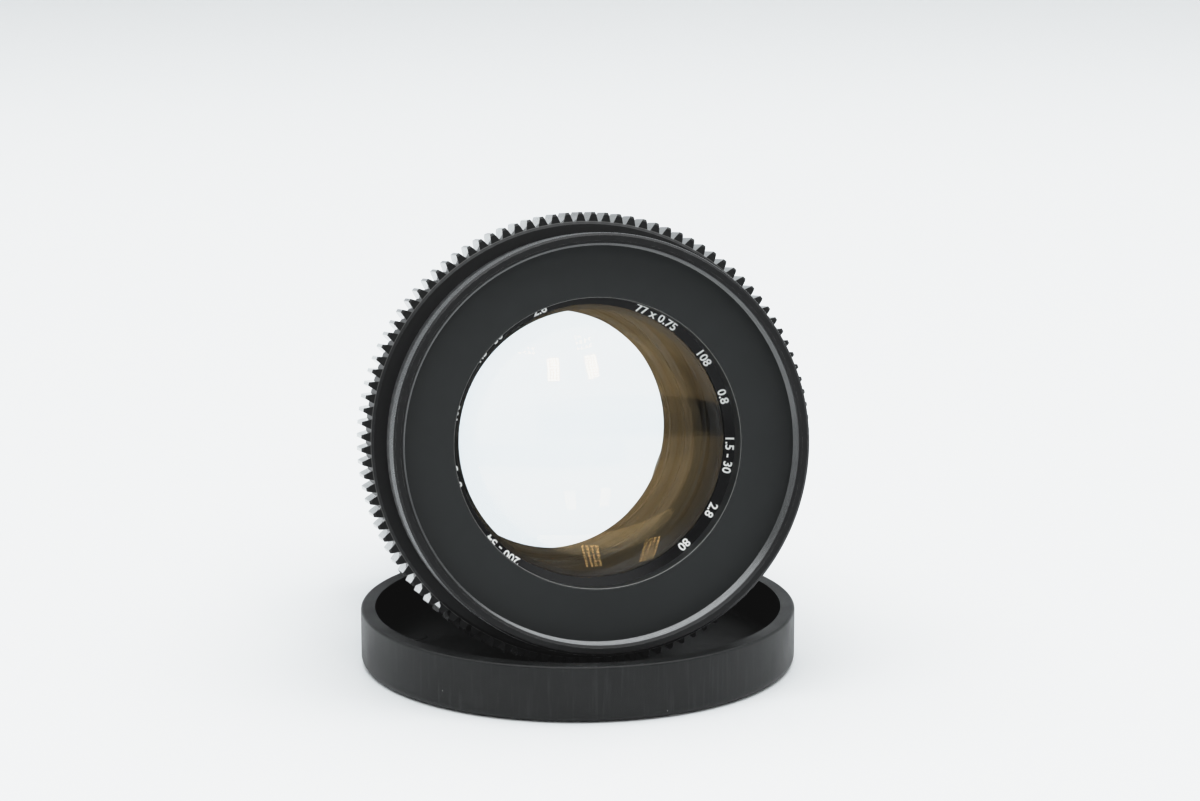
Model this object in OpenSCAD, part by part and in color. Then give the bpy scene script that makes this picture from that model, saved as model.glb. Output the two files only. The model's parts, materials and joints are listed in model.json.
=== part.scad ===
// Cinema prime lens: a short-telephoto stills lens rebuilt for film work, with a clamp-on front
// ring, a geared focus ring and eight iris blades, leaning in its own upturned slip-on front cap.
// Millimetres, +Z up, origin at the centre of the cap's underside. The lens is drawn along its
// own axis, with the mount flange at z = 0 and the front towards +z, and is then posed in the cap.

/* [Front cap] */
// Height of the slip-on cap
cap_height = 11.1; // [9:0.1:13]
// Thickness of the cap's side wall
cap_wall = 2.8; // [2:0.1:4]
// Thickness of the cap's floor
cap_floor = 2; // [1.5:0.1:3]
// Rounding of the cap's bottom edge
cap_bottom_round = 1.6; // [0.5:0.1:2]
// Rounding of the cap's rim
cap_rim_round = 0.5; // [0.2:0.1:0.9]
// Fillet between the cap's floor and wall
cap_fillet = 1; // [0.3:0.1:2]

/* [Front ring] */
// Outside diameter of the clamp-on front ring
front_ring_od = 80; // [80:1:95]
// Length of the front ring
front_ring_len = 10; // [9:0.5:16]
// Nominal diameter of the filter thread
filter_thread_d = 77; // [74:0.5:77.5]
// Depth of one side of the filter thread
filter_thread_depth = 0.4; // [0.2:0.05:0.6]
// Depth of the filter thread from the rim to the front plate
filter_depth = 5; // [3:0.5:6]
// Thickness of the front plate
front_plate_t = 2; // [1.5:0.5:3]
// Chamfer on the front ring's outer edges
rim_chamfer = 0.4; // [0.2:0.1:0.8]
// Chamfer at the mouth of the filter thread
mouth_chamfer = 0.5; // [0.2:0.1:0.6]
// Chamfer round the opening of the front plate
opening_chamfer = 0.3; // [0.1:0.1:0.6]
// Wall of the threaded spigot behind the front plate
spigot_wall = 0.9; // [0.6:0.1:1.5]

/* [Focus gear] */
// Number of gear teeth
gear_teeth = 108; // [106:2:120]
// Tooth module
gear_module = 0.8; // [0.8:0.05:1]
// Depth of a tooth below the pitch circle, in modules
gear_dedendum = 1.25; // [1.15:0.05:1.35]
// Pressure angle of the teeth
gear_pressure_angle = 20; // [14.5:0.5:25]
// Face width of the teeth
gear_width = 8; // [6:0.5:9]
// Step of the gear's body beyond each side of the teeth
gear_lip = 0.5; // [0.2:0.1:1]
// Bevel on the ends of the teeth
gear_bevel = 0.4; // [0.2:0.1:0.7]
// Length of the hub that takes the set screws
hub_len = 5.5; // [5:0.5:7]
// Wall of the hub
hub_wall = 3; // [2:0.25:4]
// Number of set screws in the hub
set_screws = 3; // [2:1:6]
// Diameter of a set screw
set_screw_d = 2.9; // [2:0.1:3.5]

/* [Focus ring] */
// Outside diameter of the focus ring
focus_ring_od = 72; // [70:0.5:73]
// Wall of the focus ring
focus_ring_wall = 2; // [1.5:0.1:2.4]
// Length of the focus ring
focus_ring_len = 48.8; // [48:0.1:60]
// Gap between the focus ring and the front ring
front_gap = 5; // [3:0.5:8]
// Gap between the gear's hub and the rubber grip
grip_gap = 1; // [0.4:0.1:2]
// Length of the rubber grip
grip_len = 18; // [10:1:19]
// Thickness of the rubber grip
grip_t = 1.3; // [0.8:0.1:2]
// Depth of the grooves between the grip's ribs
grip_groove = 0.7; // [0.3:0.1:0.7]
// Number of ribs on the grip
grip_ribs = 60; // [40:4:90]
// Wall of the brass helicoid ring
helicoid_wall = 2.6; // [2:0.1:3]
// Length of the helicoid ring
helicoid_len = 23; // [18:1:25]
// Distance from the front barrel's rear end to the helicoid ring
helicoid_setback = 3; // [2.5:0.1:4]

/* [Barrel] */
// Outside diameter of the neck that rests on the cap
neck_d = 51.3; // [50:0.1:54]
// Wall of the neck
neck_wall = 1.7; // [1.4:0.1:2.2]
// Visible length of the neck
neck_len = 9.1; // [8:0.1:12]
// Length of the taper from the neck to the shoulder
taper_len = 4.7; // [4:0.1:7]
// Length of the shoulder's edge
shoulder_edge = 0.7; // [0.4:0.1:1.5]
// Length of the bearing collar inside the focus ring
collar_len = 1.8; // [1.2:0.1:3]
// Thickness of the focus ring's inner lip
lip_t = 1.1; // [0.8:0.1:2]
// Height of the inner lip
lip_height = 1.5; // [1:0.1:2]
// Thickness of the ring that keeps the lip
retainer_t = 1.3; // [1:0.1:2]
// Wall of the front barrel
front_barrel_wall = 2.4; // [2:0.1:3]
// Width of a guide key
key_w = 5; // [3:0.5:7]
// Thickness of a guide key
key_t = 1.2; // [0.8:0.1:1.4]
// Gap between a guide key and the helicoid ring
key_gap = 0.45; // [0.3:0.05:0.6]
// Length of a guide key ahead of the collar
key_reach = 25; // [20:1:27]
// Depth of a guide key's foot in the collar
key_foot = 3; // [2:0.5:4]

/* [Aperture ring and mount] */
// Outside diameter of the aperture ring
aperture_ring_od = 63; // [60:0.5:66]
// Length of the aperture ring
aperture_ring_len = 9; // [7:0.5:10]
// Length of the aperture ring's scalloped part
scallop_len = 4.4; // [3:0.2:5]
// Number of scallops
scallops = 36; // [24:2:48]
// Radius of the tool that cuts a scallop
scallop_r = 0.9; // [0.6:0.1:1.3]
// Height of the aperture ring's front edge above the neck
aperture_edge = 0.8; // [0.4:0.1:1.2]
// Length of the fixed rear housing
rear_housing_len = 4.5; // [4:0.5:7]
// Outside diameter of the mount flange
mount_od = 65; // [64:0.5:68]
// Thickness of the mount flange
mount_t = 3; // [2.5:0.1:4]
// Outside diameter of the bayonet sleeve
sleeve_d = 50; // [49:0.5:51]
// Wall of the bayonet sleeve
sleeve_wall = 2.5; // [1.5:0.1:3]
// Length of the bayonet sleeve behind the flange
sleeve_len = 5.5; // [5:0.1:7]
// Number of bayonet lugs
lugs = 3; // [2:1:4]
// Angle that one lug covers
lug_angle = 40; // [30:1:50]
// Direction of the first lug's middle
lug_start = 90; // [0:5:355]
// Height of a lug above the sleeve
lug_height = 1.9; // [1:0.1:2.2]
// Thickness of a lug
lug_t = 1.6; // [1:0.1:2.5]
// Number of mount screws
mount_screw_count = 3; // [2:1:6]
// Direction of the first mount screw
mount_screw_start = 30; // [0:5:355]
// Radius of the circle of mount screws
mount_screw_circle = 29.7; // [29.4:0.1:29.8]
// Shank diameter of a mount screw
mount_screw_d = 1.6; // [1.2:0.1:2]
// Head diameter of a mount screw
mount_head_d = 3.8; // [3:0.1:4]
// Height of a mount screw's head
mount_head_h = 1.2; // [0.8:0.1:1.5]
// Depth of a mount screw in the rear housing
mount_screw_grip = 3.5; // [2.5:0.1:3.8]
// Thickness of the rear light baffle
baffle_t = 1.2; // [0.8:0.1:1.8]
// Width of the step that carries the baffle
baffle_step = 0.8; // [0.5:0.1:1.2]
// Opening of the rear light baffle
baffle_opening_d = 35; // [30:1:40]

/* [Optics] */
// Recess of the name ring behind the front of the front plate
name_ring_setback = 6.5; // [6:0.1:8]
// Thickness of the name ring
name_ring_t = 2.5; // [2:0.1:3.5]
// Width of the name ring
name_ring_w = 2.3; // [1.8:0.1:2.6]
// Fall of the name ring's face towards the glass
name_ring_fall = 1.2; // [0.5:0.1:1.6]
// Depth of the seat of the front element
front_seat_depth = 3.2; // [3:0.1:4]
// Wall of the cup round the front element
front_cup_wall = 1.15; // [1:0.05:1.4]
// Wall of the front cell
cell_wall = 3; // [2.5:0.1:3.5]
// Distance between the seats of the first and second elements
second_seat_depth = 12.2; // [12:0.1:14]
// Thickness of the shoulder ahead of the cemented pair
pair_shoulder_t = 2; // [1.5:0.1:3]
// Step from the second element's bore to the pair's bore
pair_step = 3.1; // [2.5:0.1:4]
// Ledge that the cemented pair sits on
pair_ledge = 0.9; // [0.6:0.1:1.2]
// Wall of the spacer between the first two elements
spacer_wall = 0.85; // [0.6:0.05:1.2]
// Flat land at the edge of each element
glass_land = 0.9; // [0.6:0.1:1.2]
// Front radius of the first element
first_front_r = 60; // [56:1:80]
// Edge thickness of the first element
first_edge_t = 2.9; // [2.4:0.1:2.9]
// Front radius of the second element
second_front_r = 38; // [38:1:60]
// Rear radius of the second element
second_rear_r = 75; // [60:1:120]
// Edge thickness of the second element
second_edge_t = 2.4; // [2:0.1:2.6]
// Front radius of the third element
third_front_r = 70; // [60:1:120]
// Radius of the cemented face
cement_r = 150; // [120:5:300]
// Edge thickness of the third element
third_edge_t = 1.6; // [1.2:0.1:2]
// Rear radius of the fourth element
fourth_rear_r = 50; // [46:1:90]
// Edge thickness of the fourth element
fourth_edge_t = 7.8; // [7.4:0.1:8.2]
// Thickness of the ring that keeps the cemented pair
pair_ring_t = 2; // [1.5:0.1:2.5]
// Length of the front barrel's rear wall
rear_wall_len = 5.8; // [5.4:0.1:7]
// Edge thickness of the fifth element
fifth_edge_t = 2.4; // [2:0.1:3]
// Front radius of the fifth element
fifth_front_r = 120; // [100:5:300]
// Width of the ledge behind the fifth element
fifth_ledge = 2.1; // [1.5:0.1:2.5]
// Depth of the rear cell's spigot in the rear wall
rear_spigot_len = 1; // [0.6:0.1:1.4]
// Thickness of the rear cell's flange
rear_flange_t = 2; // [1.5:0.1:4]
// Length of the rear cell behind its flange
rear_cell_len = 22; // [18:0.5:24]
// Wall of the rear cell at the last element
rear_cell_wall = 2.45; // [2:0.05:3]
// Ledge that the last element sits on
sixth_ledge = 1.5; // [1:0.1:2]
// Edge thickness of the last element
sixth_edge_t = 4; // [3.6:0.1:4.6]
// Front radius of the last element
sixth_front_r = 60; // [55:1:120]
// Rear radius of the last element
sixth_rear_r = 150; // [120:5:300]
// Thickness of the ring that keeps the last element
rear_ring_t = 1.9; // [1.5:0.1:2.5]

/* [Iris] */
// Number of iris blades
blade_count = 8; // [6:1:9]
// Thickness of a blade
blade_t = 0.15; // [0.1:0.01:0.2]
// Distance from one blade to the next along the axis
blade_pitch = 0.35; // [0.3:0.01:0.45]
// Width of a blade
blade_width = 8.5; // [7:0.1:9]
// Angle that a blade covers
blade_span = 95; // [85:1:100]
// Turn of a blade from open to closed
blade_swing = 30; // [20:1:32]
// Distance from a blade's outer edge to its pivot
pivot_offset = 1.4; // [1.2:0.1:1.8]
// Radius of the ear round the pivot
pivot_ear_r = 1.5; // [1.3:0.1:1.8]
// Distance from a blade's pivot to its drive pin
arm_len = 2.6; // [2.2:0.1:3]
// Diameter of a pivot pin
pivot_pin_d = 1.2; // [0.8:0.1:1.4]
// Diameter of a drive pin
drive_pin_d = 1; // [0.8:0.1:1.2]
// Depth of the pins in the base and in the drive ring
pin_grip = 1; // [0.6:0.1:1.2]
// Thickness of the iris base
iris_base_t = 2; // [1.6:0.1:3]
// Ledge that the iris base sits on
iris_ledge = 0.35; // [0.3:0.05:0.6]
// Thickness of the drive ring
drive_ring_t = 1.4; // [1.2:0.1:2]
// Width of the drive ring
drive_ring_w = 7; // [5:0.5:8]
// Distance from the drive ring's edge to its slots' pin circle
drive_edge = 1.8; // [1.6:0.1:2.2]
// Width of a drive slot
drive_slot_w = 1.4; // [1.3:0.1:1.6]
// Length of a drive slot
drive_slot_len = 2.2; // [1.8:0.1:2.6]

/* [Fits] */
// Radial clearance of a turning fit
running = 0.1; // [0.05:0.01:0.1]
// Radial clearance of a fixed fit
slip = 0.05; // [0.02:0.01:0.1]
// Clearance between pieces that move past each other
clear = 0.3; // [0.2:0.05:0.5]
// Clearance between sliding barrels
slide_gap = 0.5; // [0.3:0.05:0.7]
// Clearance of the cap on the front ring
cap_slip = 0.1; // [0.05:0.05:0.5]
// Distance from the neck's rear end to the point that rests on the cap
rest_point = 2.9; // [2:0.1:4]

/* [Hidden] */
$fn = 128;
// Extra length of a cut past the face that it opens
cut = 1;
// Depth to which a joined shape reaches into the one that carries it
overlap = 0.09;
// Facets of small holes and pins, and of the large circles of the glass
small_fn = 32;
glass_fn = 720;
// Where a grip rib's flank starts and ends, as shares of the step from rib to rib
rib_foot = 0.1;
rib_top = 0.25;

BLADES = [for (i = [1 : blade_count]) str("iris_blade_", i)];

// Stations along the axis, from the flange to the rim
housing_front = mount_t + rear_housing_len;
aperture_rear = housing_front + clear;
aperture_front = aperture_rear + aperture_ring_len;
neck_rear = aperture_front + clear;
neck_front = neck_rear + neck_len;
shoulder = neck_front + taper_len;
focus_rear = shoulder + clear;
focus_front = focus_rear + focus_ring_len;
ring_rear = focus_front + front_gap;
rim = ring_rear + front_ring_len;
collar_step = shoulder + collar_len;
lip_rear = collar_step + clear;
retainer_rear = lip_rear + lip_t + clear;
collar_front = retainer_rear + retainer_t;
plate_front = rim - filter_depth;
plate_rear = plate_front - front_plate_t;
barrel_rear = collar_front + slide_gap;
rear_wall_front = barrel_rear + rear_wall_len;

// Stations of the focus ring's pieces
gear_front = focus_front - gear_lip;
teeth_front = gear_front - gear_lip;
teeth_rear = teeth_front - gear_width;
gear_rear = teeth_rear - gear_lip;
hub_rear = gear_rear - hub_len;
grip_front = hub_rear - grip_gap;
grip_rear = grip_front - grip_len;
helicoid_rear = barrel_rear + helicoid_setback;

// Radii from the focus ring inwards
filter_bore_r = filter_thread_d / 2 - filter_thread_depth;
// The rim has room for its two chamfers round the thread, whatever the thread's diameter
front_ring_r = max(front_ring_od / 2, filter_thread_d / 2 + mouth_chamfer + rim_chamfer);
focus_r = focus_ring_od / 2;
focus_bore_r = focus_r - focus_ring_wall;
collar_r = focus_bore_r - running;
retainer_seat_r = collar_r - lip_height;
helicoid_r = focus_bore_r - slip;
helicoid_bore_r = helicoid_r - helicoid_wall;
slider_r = helicoid_bore_r - clear;
sleeve_front_r = focus_bore_r - slide_gap;
front_bore_r = slider_r - front_barrel_wall;
cell_r = front_bore_r - slip;
opening_r = cell_r - spigot_wall;
key_r = helicoid_bore_r - key_gap;

// Radii of the gear
gear_pitch_r = gear_teeth * gear_module / 2;
gear_tip_r = gear_pitch_r + gear_module;
gear_root_r = gear_pitch_r - gear_dedendum * gear_module;
gear_base_r = gear_pitch_r * cos(gear_pressure_angle);
gear_bore_r = focus_r + slip;
hub_r = gear_bore_r + hub_wall;

// Radii of the rear end
neck_r = neck_d / 2;
barrel_bore_r = neck_r - neck_wall;
aperture_seat_r = barrel_bore_r + neck_wall / 2;
rear_cell_r = barrel_bore_r - slide_gap;
mount_r = mount_od / 2;
sleeve_r = sleeve_d / 2;
throat_r = sleeve_r - sleeve_wall;

// Stations and radii of the front glass
cell_front = plate_front - name_ring_setback - name_ring_t;
first_seat = cell_front - front_seat_depth;
second_seat = first_seat - second_seat_depth;
pair_seat = second_seat - pair_shoulder_t;
third_rear = pair_seat - third_edge_t;
fourth_front = third_rear - slip;
fourth_rear = fourth_front - fourth_edge_t;
first_bore_r = cell_r - front_cup_wall;
second_bore_r = cell_r - cell_wall;
pair_bore_r = second_bore_r - pair_step;
pair_ledge_r = pair_bore_r - pair_ledge;

// Stations and radii of the rear glass
fifth_bore_r = rear_cell_r - rear_cell_wall - slip;
fifth_front = barrel_rear + rear_spigot_len + slip + fifth_edge_t;
rear_cell_rear = barrel_rear - rear_flange_t - rear_cell_len;
sixth_bore_r = rear_cell_r - rear_cell_wall;
sixth_rear = rear_cell_rear + rear_ring_t + slip;
sixth_front = sixth_rear + sixth_edge_t;

// Stations and radii of the iris
drive_rear = rear_wall_front + slide_gap;
drive_front = drive_rear + drive_ring_t;
base_rear = drive_front + clear + blade_count * blade_pitch + clear;
base_front = base_rear + iris_base_t;
iris_bore_r = front_bore_r - iris_ledge;
drive_ring_r = iris_bore_r - running;
drive_pin_r = drive_ring_r - drive_edge;
pivot_r = drive_pin_r - arm_len;
blade_out_r = pivot_r - pivot_offset;
blade_in_r = blade_out_r - blade_width;
drive_turn = 2 * atan2(arm_len * sin(blade_swing / 2), pivot_r + arm_len * cos(blade_swing / 2));

// The lens leans with its teeth on the cap's floor and its neck on the cap's rim
cap_in_r = front_ring_r + cap_slip;
cap_r = cap_in_r + cap_wall;
rest_z = neck_rear + rest_point;
rest_reach = teeth_rear - rest_z;
rest_drop = gear_tip_r - neck_r;
tilt = acos((cap_height - cap_floor) / norm([rest_reach, rest_drop])) - atan2(rest_reach, rest_drop);
lens_y = cap_r - cap_rim_round + rest_z * cos(tilt) + neck_r * sin(tilt);
lens_z = cap_floor + clear - teeth_rear * sin(tilt) + gear_tip_r * cos(tilt);

// Colours of the finishes
anodised = "#26282a";
matte_black = "#1b1d1e";
rubber = "#34373a";
brass = "#a98a4c";
steel = "#9a9ca0";
coated_glass = "#c9b48e";
blade_steel = "#303236";

// Involute of an angle, in degrees
function involute(angle) = tan(angle) * 180 / PI - angle;

// Half of the angle that a tooth covers at radius r
function half_tooth(r) =
    90 / gear_teeth + involute(gear_pressure_angle) - involute(acos(gear_base_r / r));

// Height of a spherical cap of radius r over a circle of radius edge
function sag(r, edge) = r - sqrt(r * r - edge * edge);

function polar(r, angle) = [r * cos(angle), r * sin(angle)];

// Turns a piece drawn on the lens's axis into its place in the cap
module posed() {
    translate([0, lens_y, lens_z]) rotate([90 - tilt, 0, 0]) children();
}

// Places copies evenly round the axis
module around(count, start = 0) {
    for (i = [0 : count - 1]) rotate([0, 0, start + 360 * i / count]) children();
}

module tube(z0, z1, r_in, r_out) {
    rotate_extrude() translate([r_in, z0]) square([r_out - r_in, z1 - z0]);
}

// Half section of a disc with its lower and upper outer corners rounded
module soft_disc_section(r, height, low, high) {
    square([r - low, height / 2]);
    translate([0, height / 2]) square([r - high, height / 2]);
    translate([0, low]) square([r, height - low - high]);
    translate([r - low, low]) circle(low);
    translate([r - high, height - high]) circle(high);
}

// Lens element with its rear land at z and flat lands round spherical faces.
// A positive radius bulges out of the element, a negative one is hollow and zero is flat.
module glass(z, edge_r, edge_t, front_r, rear_r) {
    face_r = edge_r - glass_land;
    translate([0, 0, z]) rotate_extrude() difference() {
        union() {
            square([edge_r, edge_t]);
            if (front_r > 0) translate([0, edge_t]) glass_cap_section(front_r, face_r);
            if (rear_r > 0) mirror([0, 1]) glass_cap_section(rear_r, face_r);
        }
        if (front_r < 0) translate([0, edge_t - sag(-front_r, face_r) - front_r]) glass_circle(-front_r);
        if (rear_r < 0) translate([0, sag(-rear_r, face_r) + rear_r]) glass_circle(-rear_r);
    }
}

// Half section of a spherical cap that stands on the line y = 0
module glass_cap_section(r, edge) {
    intersection() {
        translate([0, sag(r, edge) - r]) glass_circle(r);
        translate([0, -overlap]) square([edge, r]);
    }
}

module glass_circle(r) {
    circle(r, $fn = glass_fn);
}

module front_cap() {
    color(rubber) rotate_extrude() difference() {
        soft_disc_section(cap_r, cap_height, cap_bottom_round, cap_rim_round);
        translate([0, cap_floor]) soft_disc_section(cap_in_r, cap_height * 2, cap_fillet, cap_fillet);
    }
}

module main_barrel() {
    shoulder_r = focus_r - clear;
    color(anodised) posed() difference() {
        rotate_extrude() polygon([
            [barrel_bore_r, mount_t],
            [aperture_seat_r, mount_t],
            [aperture_seat_r, neck_rear],
            [neck_r, neck_rear],
            [neck_r, neck_front],
            [shoulder_r, shoulder - shoulder_edge],
            [shoulder_r, shoulder],
            [collar_r, shoulder],
            [collar_r, collar_step],
            [retainer_seat_r, collar_step],
            [retainer_seat_r, collar_front],
            [barrel_bore_r, collar_front]
        ]);
        around(2) translate([key_r - key_t - slip, -key_w / 2 - slip, collar_front - key_foot])
            cube([key_t + 2 * slip, key_w + 2 * slip, key_foot + cut]);
    }
}

module rear_housing() {
    color(anodised) posed() difference() {
        tube(mount_t, housing_front, aperture_seat_r + slip, mount_r - clear);
        around(mount_screw_count, mount_screw_start) translate([mount_screw_circle, 0, mount_t - cut])
            cylinder(d = mount_screw_d + 2 * slip, h = mount_screw_grip + slip + cut);
    }
}

module mount_plate() {
    color(steel) posed() difference() {
        union() {
            rotate_extrude() polygon([
                [throat_r, -sleeve_len],
                [sleeve_r, -sleeve_len],
                [sleeve_r, 0],
                [mount_r, 0],
                [mount_r, mount_t],
                [throat_r + baffle_step, mount_t],
                [throat_r + baffle_step, mount_t - baffle_t],
                [throat_r, mount_t - baffle_t]
            ]);
            around(lugs, lug_start - lug_angle / 2) translate([0, 0, -sleeve_len + slip])
                rotate_extrude(angle = lug_angle) translate([sleeve_r - sleeve_wall / 2, 0])
                    square([sleeve_wall / 2 + lug_height, lug_t]);
        }
        around(mount_screw_count, mount_screw_start) translate([mount_screw_circle, 0, -cut]) {
            cylinder(d = mount_screw_d + 2 * slip, h = mount_t + 2 * cut);
            cylinder(d = mount_head_d + 2 * slip, h = mount_head_h + cut);
        }
    }
}

module mount_screws() {
    color(steel) posed() around(mount_screw_count, mount_screw_start)
        translate([mount_screw_circle, 0, 0]) {
            cylinder(d = mount_screw_d, h = mount_t + mount_screw_grip);
            cylinder(d = mount_head_d, h = mount_head_h);
        }
}

module rear_baffle() {
    color(matte_black) posed()
        tube(mount_t - baffle_t, mount_t, baffle_opening_d / 2, throat_r + baffle_step - slip);
}

module guide_keys() {
    color(brass) posed() around(2)
        translate([key_r - key_t, -key_w / 2, collar_front - key_foot])
            cube([key_t, key_w, key_foot + key_reach]);
}

module focus_retainer() {
    color(brass) posed()
        tube(retainer_rear, collar_front, retainer_seat_r + slip, collar_r);
}

module aperture_ring() {
    aperture_r = aperture_ring_od / 2;
    bevel_rear = aperture_rear + scallop_len + scallop_r;
    color(anodised) posed() difference() {
        rotate_extrude() polygon([
            [aperture_seat_r + running, aperture_rear],
            [aperture_r - rim_chamfer, aperture_rear],
            [aperture_r, aperture_rear + rim_chamfer],
            [aperture_r, bevel_rear],
            [neck_r + aperture_edge, aperture_front],
            [aperture_seat_r + running, aperture_front]
        ]);
        around(scallops) translate([aperture_r + scallop_r / 2, 0, aperture_rear - cut])
            cylinder(r = scallop_r, h = scallop_len + cut, $fn = small_fn);
    }
}

module focus_ring() {
    color(anodised) posed() rotate_extrude() polygon([
        [focus_bore_r, focus_rear],
        [focus_r - rim_chamfer, focus_rear],
        [focus_r, focus_rear + rim_chamfer],
        [focus_r, focus_front - rim_chamfer],
        [focus_r - rim_chamfer, focus_front],
        [focus_bore_r, focus_front],
        [focus_bore_r, lip_rear + lip_t],
        [retainer_seat_r + running, lip_rear + lip_t],
        [retainer_seat_r + running, lip_rear],
        [focus_bore_r, lip_rear]
    ]);
}

module helicoid_ring() {
    color(brass) posed()
        tube(helicoid_rear, helicoid_rear + helicoid_len, helicoid_bore_r, helicoid_r);
}

module focus_grip() {
    grip_r = focus_r + slip + grip_t;
    step = 360 / grip_ribs;
    outline = [for (i = [0 : grip_ribs - 1], p = [
        [grip_r - grip_groove, rib_foot],
        [grip_r, rib_top],
        [grip_r, 1 - rib_top],
        [grip_r - grip_groove, 1 - rib_foot]
    ]) polar(p[0], (i + p[1]) * step)];
    color(rubber) posed() translate([0, 0, grip_rear]) difference() {
        linear_extrude(grip_len) polygon(outline);
        translate([0, 0, -cut]) cylinder(r = focus_r + slip, h = grip_len + 2 * cut);
    }
}

module focus_gear() {
    step = 360 / gear_teeth;
    outline = [for (i = [0 : gear_teeth - 1], p = [
        [gear_root_r, -1],
        [gear_pitch_r, -1],
        [gear_tip_r, -1],
        [gear_tip_r, 1],
        [gear_pitch_r, 1],
        [gear_root_r, 1]
    ]) polar(p[0], i * step + p[1] * half_tooth(p[0]))];
    color(anodised) posed() difference() {
        union() {
            intersection() {
                translate([0, 0, teeth_rear]) linear_extrude(gear_width) polygon(outline);
                rotate_extrude() polygon([
                    [0, teeth_rear],
                    [gear_tip_r - gear_bevel, teeth_rear],
                    [gear_tip_r + gear_bevel, teeth_rear + 2 * gear_bevel],
                    [gear_tip_r + gear_bevel, teeth_front - 2 * gear_bevel],
                    [gear_tip_r - gear_bevel, teeth_front],
                    [0, teeth_front]
                ]);
            }
            rotate_extrude() polygon([
                [gear_bore_r, gear_rear],
                [gear_root_r - gear_lip, gear_rear],
                [gear_root_r, teeth_rear],
                [gear_root_r, teeth_front],
                [gear_root_r - gear_lip, gear_front],
                [gear_bore_r, gear_front]
            ]);
            tube(hub_rear, gear_rear, gear_bore_r, hub_r);
        }
        translate([0, 0, hub_rear - cut]) cylinder(r = gear_bore_r, h = gear_front - hub_rear + 2 * cut);
        around(set_screws) translate([0, 0, hub_rear + hub_len / 2]) rotate([0, 90, 0])
            cylinder(d = set_screw_d + 2 * slip, h = hub_r + cut);
    }
}

module gear_set_screws() {
    color(steel) posed() around(set_screws)
        translate([gear_bore_r, 0, hub_rear + hub_len / 2]) rotate([0, 90, 0])
            cylinder(d = set_screw_d, h = hub_wall - clear);
}

module front_ring() {
    skirt_r = sleeve_front_r + slip;
    color(anodised) posed() rotate_extrude() polygon([
        [opening_r, plate_front - opening_chamfer],
        [opening_r + opening_chamfer, plate_front],
        [filter_bore_r, plate_front],
        [filter_bore_r, rim - mouth_chamfer],
        [filter_bore_r + mouth_chamfer, rim],
        [front_ring_r - rim_chamfer, rim],
        [front_ring_r, rim - rim_chamfer],
        [front_ring_r, ring_rear + rim_chamfer],
        [front_ring_r - rim_chamfer, ring_rear],
        [skirt_r, ring_rear],
        [skirt_r, plate_rear],
        [cell_r, plate_rear],
        [cell_r, ring_rear],
        [opening_r, ring_rear]
    ]);
}

module front_barrel() {
    slot_w = key_w + 2 * clear;
    slot_r = key_r - key_t - clear;
    step_rear = helicoid_rear + helicoid_len + clear;
    color(anodised) posed() difference() {
        rotate_extrude() polygon([
            [front_bore_r, plate_rear],
            [sleeve_front_r, plate_rear],
            [sleeve_front_r, step_rear],
            [slider_r, step_rear],
            [slider_r, barrel_rear],
            [fifth_bore_r, barrel_rear],
            [fifth_bore_r, fifth_front],
            [fifth_bore_r - glass_land, fifth_front],
            [fifth_bore_r - glass_land, rear_wall_front],
            [iris_bore_r, rear_wall_front],
            [iris_bore_r, base_rear],
            [front_bore_r, base_rear]
        ]);
        around(2) translate([slot_r, -slot_w / 2, barrel_rear - cut])
            cube([focus_r - slot_r, slot_w, collar_front + key_reach + clear - barrel_rear + cut]);
    }
}

module name_ring() {
    in_r = cell_r - name_ring_w;
    color(matte_black) posed() rotate_extrude() polygon([
        [in_r, cell_front],
        [cell_r, cell_front],
        [cell_r, cell_front + name_ring_t],
        [in_r, cell_front + name_ring_t - name_ring_fall]
    ]);
}

module front_cell() {
    color(matte_black) posed() rotate_extrude() polygon([
        [cell_r, base_front],
        [cell_r, cell_front],
        [first_bore_r, cell_front],
        [first_bore_r, first_seat],
        [second_bore_r, first_seat],
        [second_bore_r, second_seat],
        [pair_ledge_r, second_seat],
        [pair_ledge_r, pair_seat],
        [pair_bore_r, pair_seat],
        [pair_bore_r, base_front]
    ]);
}

module front_element() {
    color(coated_glass) posed() glass(first_seat, first_bore_r - slip, first_edge_t, first_front_r, 0);
}

module spacer_ring() {
    spacer_r = second_bore_r - slip;
    color(matte_black) posed()
        tube(second_seat + second_edge_t, first_seat, spacer_r - spacer_wall, spacer_r);
}

module second_element() {
    color(coated_glass) posed()
        glass(second_seat, second_bore_r - slip, second_edge_t, second_front_r, -second_rear_r);
}

module third_element() {
    color(coated_glass) posed()
        glass(third_rear, pair_bore_r - slip, third_edge_t, third_front_r, cement_r);
}

module fourth_element() {
    color(coated_glass) posed()
        glass(fourth_rear, pair_bore_r - slip, fourth_edge_t, -cement_r, -fourth_rear_r);
}

module pair_ring() {
    ring_r = pair_bore_r - slip;
    color(matte_black) posed()
        tube(fourth_rear - pair_ring_t, fourth_rear, ring_r - 2 * glass_land, ring_r);
}

module iris_base() {
    color(matte_black) posed() difference() {
        tube(base_rear, base_front, blade_in_r + clear, cell_r);
        around(blade_count) translate([pivot_r, 0, base_rear - cut])
            cylinder(d = pivot_pin_d + 2 * slip, h = pin_grip + clear + cut, $fn = small_fn);
    }
}

module iris_drive_ring() {
    color(steel) posed() difference() {
        tube(drive_rear, drive_front, drive_ring_r - drive_ring_w, drive_ring_r);
        around(blade_count, -drive_turn / 2)
            translate([drive_pin_r - drive_slot_len / 2, -drive_slot_w / 2, drive_rear - cut])
                cube([drive_slot_len, drive_slot_w, drive_ring_t + 2 * cut]);
    }
}

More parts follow.
